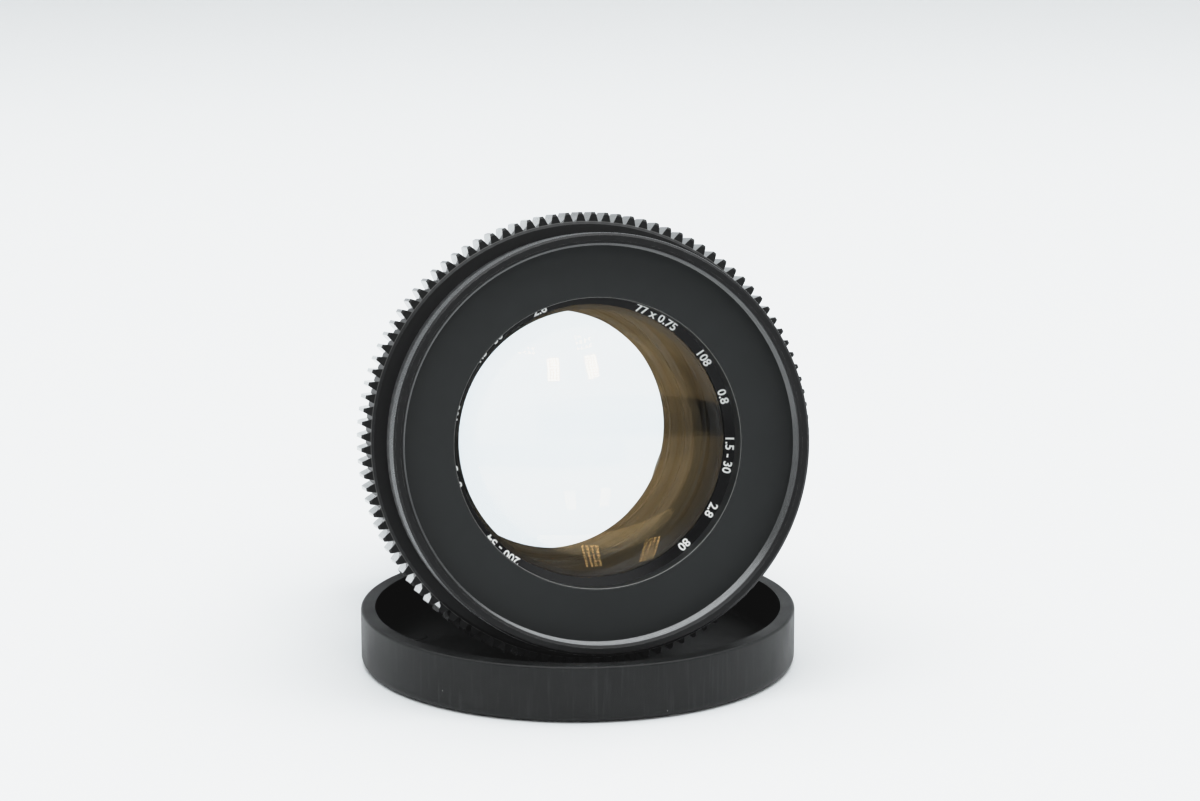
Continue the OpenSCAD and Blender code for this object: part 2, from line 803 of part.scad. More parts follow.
// Blade number i, drawn open, in its own layer behind the iris base
module iris_blade(i) {
    blade_front = base_rear - clear - (i - 1) * blade_pitch;
    blade_rear = blade_front - blade_t;
    drive_pin_len = blade_front - drive_front + pin_grip;
    color(blade_steel) posed() rotate([0, 0, 360 * (i - 1) / blade_count]) {
        translate([0, 0, blade_rear]) {
            rotate_extrude(angle = blade_span) translate([blade_in_r, 0]) square([blade_width, blade_t]);
            translate([blade_out_r - pivot_ear_r, -pivot_ear_r, 0])
                cube([pivot_offset + pivot_ear_r, 2 * pivot_ear_r, blade_t]);
        }
        translate([pivot_r, 0, blade_rear]) {
            cylinder(r = pivot_ear_r, h = blade_t, $fn = small_fn);
            cylinder(d = pivot_pin_d, h = base_rear + pin_grip - blade_rear, $fn = small_fn);
            rotate([0, 0, -blade_swing / 2]) {
                translate([0, -drive_pin_d, 0]) cube([arm_len, 2 * drive_pin_d, blade_t]);
                translate([arm_len, 0, 0]) {
                    cylinder(r = drive_pin_d, h = blade_t, $fn = small_fn);
                    translate([0, 0, blade_t - drive_pin_len])
                        cylinder(d = drive_pin_d, h = drive_pin_len, $fn = small_fn);
                }
            }
        }
    }
}

module fifth_element() {
    color(coated_glass) posed()
        glass(fifth_front - fifth_edge_t, fifth_bore_r - slip, fifth_edge_t, fifth_front_r, 0);
}

module rear_cell() {
    spigot_r = fifth_bore_r - slip;
    flange_rear = barrel_rear - rear_flange_t;
    color(matte_black) posed() rotate_extrude() polygon([
        [sixth_bore_r, rear_cell_rear],
        [rear_cell_r, rear_cell_rear],
        [rear_cell_r, barrel_rear],
        [spigot_r, barrel_rear],
        [spigot_r, barrel_rear + rear_spigot_len],
        [spigot_r - fifth_ledge, barrel_rear + rear_spigot_len],
        [spigot_r - fifth_ledge, flange_rear],
        [sixth_bore_r - sixth_ledge, flange_rear],
        [sixth_bore_r - sixth_ledge, sixth_front],
        [sixth_bore_r, sixth_front]
    ]);
}

module sixth_element() {
    color(coated_glass) posed()
        glass(sixth_rear, sixth_bore_r - slip, sixth_edge_t, -sixth_front_r, sixth_rear_r);
}

module rear_ring() {
    ring_r = sixth_bore_r - slip;
    color(matte_black) posed()
        tube(rear_cell_rear, rear_cell_rear + rear_ring_t, ring_r - glass_land, ring_r);
}

front_cap();
main_barrel();
rear_housing();
mount_plate();
mount_screws();
rear_baffle();
guide_keys();
focus_retainer();
aperture_ring();
focus_ring();
helicoid_ring();
focus_grip();
focus_gear();
gear_set_screws();
front_ring();
front_barrel();
name_ring();
front_cell();
front_element();
spacer_ring();
second_element();
third_element();
fourth_element();
pair_ring();
iris_base();
iris_drive_ring();
fifth_element();
rear_cell();
sixth_element();
rear_ring();
for (i = [1 : blade_count]) iris_blade(i);
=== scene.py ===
"""Looks of a cinema prime lens that leans in its own upturned front cap.

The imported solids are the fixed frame. This file gives them their finishes and adds what is too fine for
solids: ground glass, the knurl, the filter thread, the scales, the moulded grip and the screws' sockets.
Run as a script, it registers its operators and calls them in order.
"""
import collections
import json
import math

import bmesh
import bpy
import numpy as np
from bpy.props import FloatProperty, FloatVectorProperty, IntProperty, PointerProperty
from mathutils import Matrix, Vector


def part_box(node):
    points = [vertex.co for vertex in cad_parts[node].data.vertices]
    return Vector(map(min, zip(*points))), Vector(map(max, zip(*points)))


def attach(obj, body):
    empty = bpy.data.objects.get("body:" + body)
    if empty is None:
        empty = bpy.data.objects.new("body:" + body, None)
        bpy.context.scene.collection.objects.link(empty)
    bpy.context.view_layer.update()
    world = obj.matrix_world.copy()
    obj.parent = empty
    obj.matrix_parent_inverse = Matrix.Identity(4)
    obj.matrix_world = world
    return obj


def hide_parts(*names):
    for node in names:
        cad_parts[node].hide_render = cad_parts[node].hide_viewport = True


bl_info = {
    "name": "Cinema Prime Lens Looks",
    "version": (1, 0, 0),
    "blender": (4, 5, 0),
    "location": "View3D > Sidebar > Lens",
    "description": "Finishes and fine details of a cinema prime lens and its front cap",
    "category": "Object",
}

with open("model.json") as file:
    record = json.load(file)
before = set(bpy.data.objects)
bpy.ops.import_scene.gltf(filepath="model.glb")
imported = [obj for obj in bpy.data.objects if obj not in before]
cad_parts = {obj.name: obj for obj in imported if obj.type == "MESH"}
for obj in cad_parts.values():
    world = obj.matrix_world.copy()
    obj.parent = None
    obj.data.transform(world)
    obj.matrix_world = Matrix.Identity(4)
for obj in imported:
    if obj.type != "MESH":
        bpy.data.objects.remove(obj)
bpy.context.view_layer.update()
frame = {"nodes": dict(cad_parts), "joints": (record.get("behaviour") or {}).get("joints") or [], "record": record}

MM = 0.001


def unit(vector):
    """A direction of length one."""
    return np.asarray(vector) / np.linalg.norm(vector)


# The lens's own axes: its flange is station zero, and stations grow towards the front glass
JOINTS = {joint["name"]: joint for joint in frame["joints"]}
FLANGE = np.array(JOINTS["focus_turn"]["pos_m"])
AXIS = unit(JOINTS["focus_turn"]["axis"])
ACROSS = np.array([1.0, 0.0, 0.0])
UPWARD = np.cross(AXIS, ACROSS)
TILT = math.asin(AXIS[2])
TOP = math.pi / 2
FULL_TURN = 2 * math.pi

# The filter thread's bore and depth, from the record's mounts, and sizes of the solids that no mount gives
FILTER = next(mount for mount in frame["record"]["mounts"] if mount["name"] == "filter_thread")["dims"]
FILTER_BORE = FILTER["r_mm"] * MM
MOUTH_CHAMFER = 0.5 * MM
PLATE_DEPTH = FILTER["length_mm"] * MM + MOUTH_CHAMFER
RIM_CHAMFER = 0.4 * MM
NAME_RING_FALL = 1.2 * MM
TOOTH_HEIGHT = 1.8 * MM
GLASS_LAND = 0.9 * MM
BEVEL_LENGTH = 3.7 * MM
BEVEL_OVERHANG = 0.8 * MM
CAP_FLOOR = 2.0 * MM

# Points of a new mesh that lie nearer than this are one
WELD = 0.0001 * MM

# Height of a figure in the font at size one, and half the thickness that its solid gets there
FONT_HEIGHT = 0.69
FONT_RISE = 0.1

# Limits of a soft change in noise, how far a turned finish's roughness swings, the grain of metal, and the
# refractive index of the dull blacks
SOFT = (0.3, 0.7)
GLOSS_SWING = 0.07
METAL_GRAIN = 0.06 * MM
DULL_INDEX = 1.33

Reach = collections.namedtuple("Reach", "rear front inner outer")
Glass = collections.namedtuple("Glass", "front rear index coat")

# Radius of each element's two faces, negative where the face is hollow, the glass's refractive index, and
# how much of what bare glass would reflect its coat leaves
FLAT = 1000.0
GLASSES = {
    "front_element": Glass(60.0 * MM, FLAT, 1.642, 0.75),
    "second_element": Glass(38.0 * MM, -75.0 * MM, 1.517, 0.60),
    "third_element": Glass(70.0 * MM, 150.0 * MM, 1.45, 0.60),
    "fourth_element": Glass(-150.0 * MM, -50.0 * MM, 1.833, 0.25),
    "fifth_element": Glass(120.0 * MM, FLAT, 1.616, 0.25),
    "sixth_element": Glass(-60.0 * MM, 150.0 * MM, 1.629, 0.25),
}


def length(name, description, default):
    """A size in metres, shown in the scene's units."""
    return FloatProperty(name=name, description=description, default=default, unit="LENGTH", precision=5)


def paint(name, description, default):
    """A colour in linear light."""
    return FloatVectorProperty(
        name=name, description=description, default=(*default, 1.0), size=4, min=0.0, max=1.0,
        subtype="COLOR")


class LensDetails(bpy.types.PropertyGroup):
    """Sizes of the fine details."""

    knurl_pitch: length("Knurl pitch", "Distance between two points of the rim's knurl", 0.5 * MM)
    knurl_depth: length("Knurl depth", "Height of the knurl's points", 0.11 * MM)
    knurl_width: length("Knurl width", "Width of the knurled band behind the rim", 5.0 * MM)
    thread_pitch: length("Thread pitch", "Pitch of the filter thread", 0.75 * MM)
    thread_depth: length("Thread depth", "Height of the filter thread's ridge", 0.4 * MM)
    name_height: length("Ring figures", "Height of the figures on the ring round the glass", 1.65 * MM)
    scale_height: length("Focus numbers", "Height of the distance numbers", 2.4 * MM)
    stop_height: length("Stop numbers", "Height of the stop numbers", 2.0 * MM)
    paint_proud: length("Paint thickness", "Height of the filled markings above their ring", 0.04 * MM)
    paint_sink: length("Paint depth", "Depth of the filled markings in their ring", 0.12 * MM)
    grip_rows: IntProperty(
        name="Grip rows", description="Rows of blocks on the rubber grip", default=6, min=2)
    grip_groove: length("Grip groove", "Width of the grooves between the blocks", 0.75 * MM)
    grip_depth: length("Grip depth", "Depth of the grooves between the blocks", 0.7 * MM)
    socket_depth: length("Socket depth", "Depth of the screws' sockets", 0.8 * MM)
    index_radius: length("Index radius", "Radius of the mounting index", 1.3 * MM)
    pin_mark_radius: length("Pin mark radius", "Radius of the moulding marks in the cap", 2.5 * MM)
    pin_mark_height: length("Pin mark height", "Height of the moulding marks in the cap", 0.25 * MM)


class LensFinishes(bpy.types.PropertyGroup):
    """Colours of the finishes."""

    anodised: paint("Anodised black", "Barrel and rings", (0.010, 0.0105, 0.011))
    plate: paint("Front plate", "Matt plate inside the filter thread", (0.0130, 0.0150, 0.0154))
    gear: paint("Gear", "Toothed focus ring", (0.0050, 0.0053, 0.0055))
    # Bare metal is also the colour of the painted highlights at the gear's root circle and at the front ring's
    # hole
    bare_metal: paint("Bare metal", "Metal that shows where an edge is worn", (0.30, 0.30, 0.29))
    cap: paint("Cap plastic", "Slip-on cap", (0.0048, 0.0052, 0.0053))
    gloss: paint("Gloss black", "Ring round the glass", (0.004, 0.004, 0.0045))
    # Colour of the painted highlight on the knurl's points
    knurl: paint("Knurl", "Points of the rim's knurl", (0.24, 0.246, 0.25))
    thread: paint("Thread", "Rubbed ridge of the filter thread", (0.13, 0.132, 0.133))
    inner: paint("Cell black", "Inside of the glass cells", (0.028, 0.022, 0.014))
    inner_dark: paint("Baffle black", "Baffles and rear cell", (0.010, 0.010, 0.011))
    glass: paint("Glass", "Tint of the glass", (1.0, 0.998, 0.992))
    coating: paint("Coating", "Colour of what the coated glass reflects", (1.0, 0.62, 0.24))
    brass: paint("Brass", "Helicoid and keys", (0.60, 0.42, 0.17))
    steel: paint("Steel", "Screws and drive ring", (0.46, 0.46, 0.47))
    chrome: paint("Chrome", "Mount", (0.62, 0.62, 0.63))
    blade: paint("Blade steel", "Iris blades", (0.035, 0.035, 0.038))
    rubber: paint("Rubber", "Focus grip", (0.012, 0.012, 0.0125))
    dust: paint("Dust", "Specks on the plastic and the rubber", (0.35, 0.35, 0.34))
    white: paint("White fill", "Numbers", (0.90, 0.90, 0.88))
    amber: paint("Amber fill", "Numbers of the second scale", (0.80, 0.33, 0.03))
    red: paint("Red fill", "Mounting index", (0.55, 0.02, 0.015))


class StudioSetup(bpy.types.PropertyGroup):
    """Camera, floor and lights."""

    camera_place: FloatVectorProperty(
        name="Camera place", description="Where the camera stands", size=3, subtype="TRANSLATION",
        default=(-0.128423, -0.686903, 0.214281))
    azimuth: FloatProperty(
        name="Azimuth", description="Turn of the view from +Y towards +X", subtype="ANGLE",
        default=math.radians(10.9505))
    elevation: FloatProperty(
        name="Elevation", description="Rise of the view above the level", subtype="ANGLE",
        default=math.radians(-13.049))
    focal_length: FloatProperty(
        name="Focal length", description="Focal length on a 36 mm sensor", default=110.0, unit="CAMERA")
    floor: paint("Floor", "Pale studio floor", (0.80, 0.815, 0.82))
    felt: paint("Felt", "Dark board in front", (0.02, 0.02, 0.02))
    lamp: paint("Lamps", "Light of the two small lamps", (1.0, 0.97, 0.92))
    world: paint("Room light", "Light from all round", (0.94, 0.97, 1.0))
    world_strength: FloatProperty(
        name="Room strength", description="Strength of the room light", default=0.30)


def places(mesh):
    """Places of a mesh's vertices, a row each."""
    points = np.empty(len(mesh.vertices) * 3, np.float32)
    mesh.vertices.foreach_get("co", points)
    return points.reshape(-1, 3)


def lens_places(node):
    """How far the vertices of a CAD node lie from the flange: across, upward and along the axis."""
    points = places(frame["nodes"][node].data) - FLANGE
    return points @ ACROSS, points @ UPWARD, points @ AXIS


def reach(node, rear=-1.0, front=1.0):
    """Least and greatest station along the axis, and radius about it, of a node between two stations."""
    across, upward, station = lens_places(node)
    kept = (station > rear) & (station < front)
    radius = np.hypot(across, upward)[kept]
    station = station[kept]
    return Reach(station.min(), station.max(), radius.min(), radius.max())


def solid_angles(node, count):
    """Angles about the axis of a node's alike solids, which lie evenly round it."""
    across, upward, _ = lens_places(node)
    angle = np.arctan2(upward, across)
    phase = np.angle(np.exp(1j * count * angle).mean()) / count
    return phase + full_circle(count)


def full_circle(count):
    """Angles of points that lie evenly round a circle."""
    return FULL_TURN * np.arange(count) / count


def about_axis(radius, angle, station):
    """Points at a radius and an angle about the lens's axis and at a station along it."""
    radius, angle, station = np.broadcast_arrays(radius, angle, station)
    return (FLANGE + (radius * np.cos(angle))[..., None] * ACROSS
            + (radius * np.sin(angle))[..., None] * UPWARD + station[..., None] * AXIS)


def grid_faces(rows, columns, rows_close=False, columns_close=False):
    """Four-sided faces of a grid of points, row by row; a closed direction joins its end to its start."""
    i = np.arange(rows if rows_close else rows - 1)[:, None]
    j = np.arange(columns if columns_close else columns - 1)[None, :]
    after_i = (i + 1) % rows
    after_j = (j + 1) % columns
    corners = np.broadcast_arrays(
        i * columns + j, after_i * columns + j, after_i * columns + after_j, i * columns + after_j)
    return np.stack(corners, axis=-1).reshape(-1, 4)


def merged(parts):
    """One list of points and one of faces from several pairs of them."""
    starts = np.cumsum([0] + [len(points) for points, _ in parts])
    points = np.concatenate([points for points, _ in parts])
    faces = [face for (_, own), start in zip(parts, starts) for face in (np.asarray(own) + start).tolist()]
    return points, faces


def sleeve(wall, station, inner):
    """Closed ring about the axis: an outer wall, radii round by along, and a plain inner one."""
    around, rows = wall.shape
    radius = np.concatenate([wall, np.full((around, 2), inner)], axis=1)
    station = np.concatenate([station, station[[-1, 0]]])
    points = about_axis(radius, full_circle(around)[:, None], station[None, :])
    return points, grid_faces(around, rows + 2, True, True)


def turned_body(place, outward, side, around, across, out):
    """Points of rings turned about a line through a place: how far across and how far out each is."""
    turn = full_circle(around)[:, None]
    return (place + (across * np.cos(turn))[..., None] * side
            + (across * np.sin(turn))[..., None] * np.cross(outward, side) + out[..., None] * outward)


def capped(bodies):
    """Points and faces of alike round bodies, each a grid of turns by rings, with flat ends."""
    turns, rings = bodies[0].shape[:2]
    points, faces = merged([(body.reshape(-1, 3), grid_faces(turns, rings, True)) for body in bodies])
    for start in range(0, len(points), turns * rings):
        foot = start + rings * np.arange(turns)
        faces.append(foot[::-1].tolist())
        faces.append((foot + rings - 1).tolist())
    return points, faces


def put_in_scene(name, data):
    """A new object of the scene that holds a mesh, a light or a camera."""
    made = bpy.data.objects.new(name, data)
    bpy.context.scene.collection.objects.link(made)
    return made


def make_piece(name, points, faces, material, body, slot=None, smooth_degrees=35.0):
    """A welded mesh of points and faces, smooth across edges blunter than an angle, that rides on a body."""
    mesh = bpy.data.meshes.new(name)
    mesh.from_pydata(np.asarray(points).reshape(-1, 3), [], faces)
    work = bmesh.new()
    work.from_mesh(mesh)
    bmesh.ops.remove_doubles(work, verts=work.verts, dist=WELD)
    work.to_mesh(mesh)
    work.free()
    mesh.validate()
    mesh.shade_smooth()
    mesh.set_sharp_from_angle(angle=math.radians(smooth_degrees))
    mesh.materials.append(material)
    piece = put_in_scene(name, mesh)
    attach(piece, body)
    return piece


def lettering(text, height, low=0.0, bold=0.0):
    """One line of text as a thin closed solid: points as (along, up, rise from -1 to 1) and triangles."""
    curve = bpy.data.curves.new("lettering", "FONT")
    curve.body = text
    curve.offset = bold
    curve.align_x = "CENTER"
    curve.resolution_u = 3
    curve.extrude = FONT_RISE
    carrier = bpy.data.objects.new("lettering", curve)
    mesh = bpy.data.meshes.new_from_object(carrier)
    points = places(mesh).astype(float)
    mesh.calc_loop_triangles()
    faces = np.empty(len(mesh.loop_triangles) * 3, np.int32)
    mesh.loop_triangles.foreach_get("vertices", faces)
    bpy.data.objects.remove(carrier)
    bpy.data.curves.remove(curve)
    bpy.data.meshes.remove(mesh)
    points[:, :2] *= height / FONT_HEIGHT
    points[:, 1] += low
    points[:, 2] /= FONT_RISE
    return points, faces.reshape(-1, 3)


def stroke(width, tall, low=0.0):
    """A straight mark as a thin closed box: points as (along, up, rise from -1 to 1) and faces."""
    along, up, rise = np.meshgrid(
        [-width / 2, width / 2], [low, low + tall], [-1.0, 1.0], indexing="ij")
    points = np.stack([along, up, rise], axis=-1).reshape(-1, 3)
    faces = [[0, 1, 3, 2], [4, 6, 7, 5], [0, 4, 5, 1], [2, 3, 7, 6], [0, 2, 6, 4], [1, 5, 7, 3]]
    return points, np.array(faces)


def marked(details, parts, start, run, girth, hand=1):
    """Flat markings, each with its angle, put on a cone or cylinder about the axis, as points and faces.

    Up runs along the slope from the start's radius and station. Along runs round at the girth, the other way
    round for a hand of -1. Rise leaves the slope squarely, out by the paint's thickness or in by its depth.
    """
    def surface(along, up, rise, angle):
        proud = hand * np.where(rise > 0, details.paint_proud, -details.paint_sink)
        radius = start[0] + up * run[0] + proud * run[1]
        station = start[1] + up * run[1] - proud * run[0]
        return about_axis(radius, angle + hand * along / girth, station)

    return merged([(surface(*points.T, angle), faces) for (points, faces), angle in parts])


def scaled(colour, factor, lift=0.0):
    """A colour whose channels are multiplied and lifted, and that stays opaque."""
    return [min(1.0, factor * channel + lift) for channel in colour[:3]] + [1.0]


class Wiring:
    """Adds nodes to one tree. A value that is a socket is linked, and any other sets the input itself."""

    def __init__(self, tree):
        self.tree = tree

    def feed(self, sockets, values):
        for key, value in values.items():
            if isinstance(value, bpy.types.NodeSocket):
                self.tree.links.new(value, sockets[key])
            else:
                sockets[key].default_value = value

    def node(self, kind, inputs=None, **settings):
        made = self.tree.nodes.new(kind)
        for key, value in settings.items():
            setattr(made, key, value)
        self.feed(made.inputs, inputs or {})
        return made

    def math(self, operation, *values, clamp=False):
        inputs = dict(enumerate(values))
        return self.node("ShaderNodeMath", inputs, operation=operation, use_clamp=clamp).outputs[0]

    def times(self, first, second, clamp=False):
        return self.math("MULTIPLY", first, second, clamp=clamp)

    def group(self, name, **inputs):
        return self.node("ShaderNodeGroup", inputs, node_tree=bpy.data.node_groups[name]).outputs

    def mix(self, factor, first, second):
        made = self.node("ShaderNodeMix", {0: factor, 6: first, 7: second}, data_type="RGBA")
        return made.outputs[2]

    def blend(self, factor, first, second):
        made = self.node("ShaderNodeMix", {0: factor, 2: first, 3: second}, data_type="FLOAT")
        return made.outputs[0]

    def ramp(self, value, low, high, to_low=0.0, to_high=1.0):
        inputs = dict(enumerate((value, low, high, to_low, to_high)))
        return self.node("ShaderNodeMapRange", inputs, interpolation_type="SMOOTHSTEP").outputs[0]

    def place(self):
        return self.node("ShaderNodeTexCoord").outputs["Object"]

    def noise(self, place, size, detail=3.0):
        scale = self.math("DIVIDE", 1.0, size)
        inputs = {"Vector": place, "Scale": scale, "Detail": detail}
        return self.node("ShaderNodeTexNoise", inputs).outputs[0]

    def facing(self, direction):
        normal = self.node("ShaderNodeNewGeometry").outputs["Normal"]
        made = self.node("ShaderNodeVectorMath", {0: normal, 1: direction}, operation="DOT_PRODUCT")
        return made.outputs["Value"]

    def bump(self, height, distance, **normal):
        return self.node("ShaderNodeBump", {"Height": height, "Distance": distance, **normal}).outputs[0]


def new_group(name, inputs, outputs):
    """An empty node group with number inputs, each with its default, and number outputs."""
    tree = bpy.data.node_groups.new(name, "ShaderNodeTree")
    for label, default in inputs.items():
        socket = tree.interface.new_socket(label, in_out="INPUT", socket_type="NodeSocketFloat")
        socket.default_value = default
    for label in outputs:
        tree.interface.new_socket(label, in_out="OUTPUT", socket_type="NodeSocketFloat")
    wires = Wiring(tree)
    return wires, wires.node("NodeGroupInput").outputs, wires.node("NodeGroupOutput").inputs


def lens_space_group():
    """Radius about the lens's axis, station along it and angle round it, from Object coordinates."""
    wires, _, result = new_group("lens space", {}, ["Radius", "Station", "Angle"])
    turn = (TOP - TILT, 0.0, 0.0)
    inputs = {"Vector": wires.place(), "Location": FLANGE, "Rotation": turn}
    turned = wires.node("ShaderNodeMapping", inputs, vector_type="TEXTURE").outputs[0]
    x, y, z = wires.node("ShaderNodeSeparateXYZ", {"Vector": turned}).outputs
    square = wires.math("ADD", wires.times(x, x), wires.times(y, y))
    wires.feed(result, {
        "Radius": wires.math("SQRT", square), "Station": z, "Angle": wires.math("ARCTAN2", y, x)})


def turned_lines_group():
    """Height of turning marks: noise that changes along one distance only, one mark every pitch."""
    wires, given, result = new_group("turned lines", {"Distance": 0.0, "Pitch": 0.2 * MM}, ["Height"])
    along = wires.math("DIVIDE", given["Distance"], given["Pitch"])
    inputs = {"W": along, "Scale": 1.0, "Detail": 2.0}
    noise = wires.node("ShaderNodeTexNoise", inputs, noise_dimensions="1D").outputs[0]
    wires.feed(result, {"Height": noise})


def fine_grain_group():
    """Height of a fine even grain of a given size, and broad soft patches sixty times as large."""
    wires, given, result = new_group("fine grain", {"Size": 0.1 * MM}, ["Height", "Patches"])
    place = wires.place()
    broad = wires.times(given["Size"], 60.0)
    wires.feed(result, {"Height": wires.noise(place, given["Size"]), "Patches": wires.noise(place, broad)})


def upright_streaks_group():
    """Height of streaks of a given width that run up a wall: noise drawn out along the height."""
    wires, given, result = new_group("upright streaks", {"Width": 0.5 * MM}, ["Height"])
    inputs = {0: wires.place(), 1: (1.0, 1.0, 0.06)}
    drawn = wires.node("ShaderNodeVectorMath", inputs, operation="MULTIPLY").outputs[0]
    wires.feed(result, {"Height": wires.noise(drawn, given["Width"])})


def edge_wear_group():
    """Mask of rubbed edges: where a rounded normal leaves the true one, broken up by noise."""
    wires, given, result = new_group("edge wear", {"Width": 0.15 * MM, "Amount": 1.0}, ["Mask"])
    rounded = wires.node("ShaderNodeBevel", {"Radius": given["Width"]}, samples=6).outputs[0]
    bend = wires.ramp(wires.facing(rounded), 0.995, 0.85)
    inputs = {"Vector": wires.place(), "Scale": 900.0, "Detail": 4.0}
    patchy = wires.ramp(wires.node("ShaderNodeTexNoise", inputs).outputs[0], 0.40, 0.62)
    wires.feed(result, {"Mask": wires.times(wires.times(bend, patchy), given["Amount"], clamp=True)})


def dust_group():
    """Mask of a few small specks: the middles of scattered cells, only some of which hold one."""
    wires, given, result = new_group("dust", {"Spacing": 2.0 * MM, "Amount": 0.4}, ["Mask"])
    scale = wires.math("DIVIDE", 1.0, given["Spacing"])
    cells = wires.node("ShaderNodeTexVoronoi", {"Vector": wires.place(), "Scale": scale}).outputs
    speck = wires.ramp(cells["Distance"], 0.05, 0.02)
    lot = wires.node("ShaderNodeSeparateXYZ", {"Vector": cells["Color"]}).outputs[0]
    chosen = wires.math("GREATER_THAN", lot, 0.7)
    wires.feed(result, {"Mask": wires.times(wires.times(speck, chosen), given["Amount"])})


GROUPS = (
    lens_space_group,
    turned_lines_group,
    fine_grain_group,
    upright_streaks_group,
    edge_wear_group,
    dust_group,
)


def new_finish(name):
    """A material with its wiring and the inputs of its shader."""
    material = bpy.data.materials.new(name)
    material.use_nodes = True
    return material, Wiring(material.node_tree), material.node_tree.nodes["Principled BSDF"].inputs


def turned_metal(
        name, colour, roughness, pitch, along="Station", bare=None, wear=0.35, metallic=0.0,
        depth=0.004 * MM, index=1.5, contrast=0.2):
    """Turned metal: lines along the axis or the radius in the relief and gloss, and rubbed edges."""
    material, wires, shader = new_finish(name)
    space = wires.group("lens space")
    lines = wires.group("turned lines", Distance=space[along], Pitch=pitch)["Height"]
    grain = wires.group("fine grain", Size=METAL_GRAIN)
    worn = wires.group("edge wear", Width=0.14 * MM, Amount=wear)["Mask"]
    tone = wires.ramp(wires.blend(0.5, grain["Patches"], lines), *SOFT)
    shade = wires.mix(tone, colour, scaled(colour, 1.0 - contrast))
    gloss = wires.blend(lines, roughness - GLOSS_SWING, roughness + GLOSS_SWING)
    fine = wires.bump(grain["Height"], 0.003 * MM)
    wires.feed(shader, {
        "Base Color": wires.mix(worn, shade, colour if bare is None else bare),
        "Roughness": wires.blend(worn, gloss, 0.3),
        "Metallic": wires.math("MAXIMUM", worn, metallic),
        "IOR": index,
        "Normal": wires.bump(lines, depth, Normal=fine),
    })
    return material


def gear_finish(finishes):
    """The gear: a turned black face, a painted highlight along the root circle (a thin ring of bare metal where a
    step would catch the light), and glossy cut flanks.
    """
    material, wires, shader = new_finish("gear black")
    root = reach("focus_gear").outer - TOOTH_HEIGHT
    space = wires.group("lens space")
    teeth = wires.math("GREATER_THAN", space["Radius"], root)
    away = wires.math("ABSOLUTE", wires.math("SUBTRACT", space["Radius"], root))
    face = wires.math("GREATER_THAN", wires.math("ABSOLUTE", wires.facing(AXIS)), 0.7)
    flank = wires.times(teeth, wires.math("SUBTRACT", 1.0, face))
    # Painted highlight: a thin ring of bare metal on the face along the root circle
    painted_root_highlight = wires.times(wires.ramp(away, 0.10 * MM, 0.03 * MM, 0.0, 0.30), face)
    worn = wires.group("edge wear", Width=0.10 * MM, Amount=0.25)["Mask"]
    # Real edge wear and the painted highlight, both shown as bare metal
    bright = wires.math("MAXIMUM", painted_root_highlight, worn)
    lines = wires.group("turned lines", Distance=space["Radius"], Pitch=0.30 * MM)["Height"]
    grain = wires.group("fine grain", Size=METAL_GRAIN)
    shade = wires.mix(grain["Patches"], finishes.gear, finishes.gloss)
    wires.feed(shader, {
        "Base Color": wires.mix(bright, shade, finishes.bare_metal),
        "Roughness": wires.blend(lines, 0.34, 0.48),
        "Metallic": bright,
        "IOR": DULL_INDEX,
        "Coat Weight": flank,
        "Coat IOR": 2.2,
        "Coat Roughness": 0.06,
        "Normal": wires.bump(lines, 0.004 * MM),
    })
    return material


def iris_plate_finish(finishes):
    """The plate in front of the iris: wide turned steps round a dark opening."""
    material, wires, shader = new_finish("iris plate black")
    space = wires.group("lens space")
    steps = wires.group("turned lines", Distance=space["Radius"], Pitch=1.1 * MM)["Height"]
    opening = wires.math("LESS_THAN", space["Radius"], reach("iris_base").inner + 0.15 * MM)
    shade = wires.mix(wires.ramp(steps, 0.35, 0.65), finishes.inner_dark, finishes.inner)
    wires.feed(shader, {
        "Base Color": wires.mix(opening, shade, finishes.gloss),
        "Roughness": wires.blend(opening, wires.blend(steps, 0.24, 0.38), 0.7),
        "Normal": wires.bump(steps, 0.2 * MM),
    })
    return material


def front_ring_finish(finishes):
    """The front ring: a satin turned rim, a matt plate inside the thread and a painted highlight, a thin ring of
    bare metal, round the edge of its hole.
    """
    material, wires, shader = new_finish("front ring")
    ring = reach("front_ring")
    plate_front = ring.front - PLATE_DEPTH
    space = wires.group("lens space")
    deep = wires.math("LESS_THAN", space["Station"], plate_front + 0.2 * MM)
    inside = wires.math("LESS_THAN", space["Radius"], FILTER_BORE + 0.05 * MM)
    plate = wires.times(deep, inside)
    lines = wires.group("turned lines", Distance=space["Radius"], Pitch=0.16 * MM)["Height"]
    grain = wires.group("fine grain", Size=0.07 * MM)
    worn = wires.group("edge wear", Width=0.10 * MM, Amount=0.55)["Mask"]
    shade = wires.mix(plate, finishes.gloss, finishes.plate)
    shade = wires.mix(wires.times(grain["Patches"], 0.35), shade, finishes.gear)
    # Painted highlight: bare metal round the front edge of the hole, where its chamfer would catch the light
    opening = wires.math("LESS_THAN", space["Radius"], ring.inner + 0.12 * MM)
    edge = wires.math("GREATER_THAN", space["Station"], plate_front - 0.25 * MM)
    # Real edge wear and the painted highlight at the hole, both shown as bare metal
    bright = wires.math("MAXIMUM", worn, wires.times(opening, edge))
    relief = wires.times(lines, wires.math("SUBTRACT", 1.0, plate))
    fine = wires.bump(grain["Height"], 0.006 * MM)
    wires.feed(shader, {
        "Base Color": wires.mix(bright, shade, finishes.bare_metal),
        "Roughness": wires.blend(plate, wires.blend(lines, 0.30, 0.48), 0.62),
        "Metallic": bright,
        "IOR": DULL_INDEX,
        "Normal": wires.bump(relief, 0.012 * MM, Normal=fine),
    })
    return material


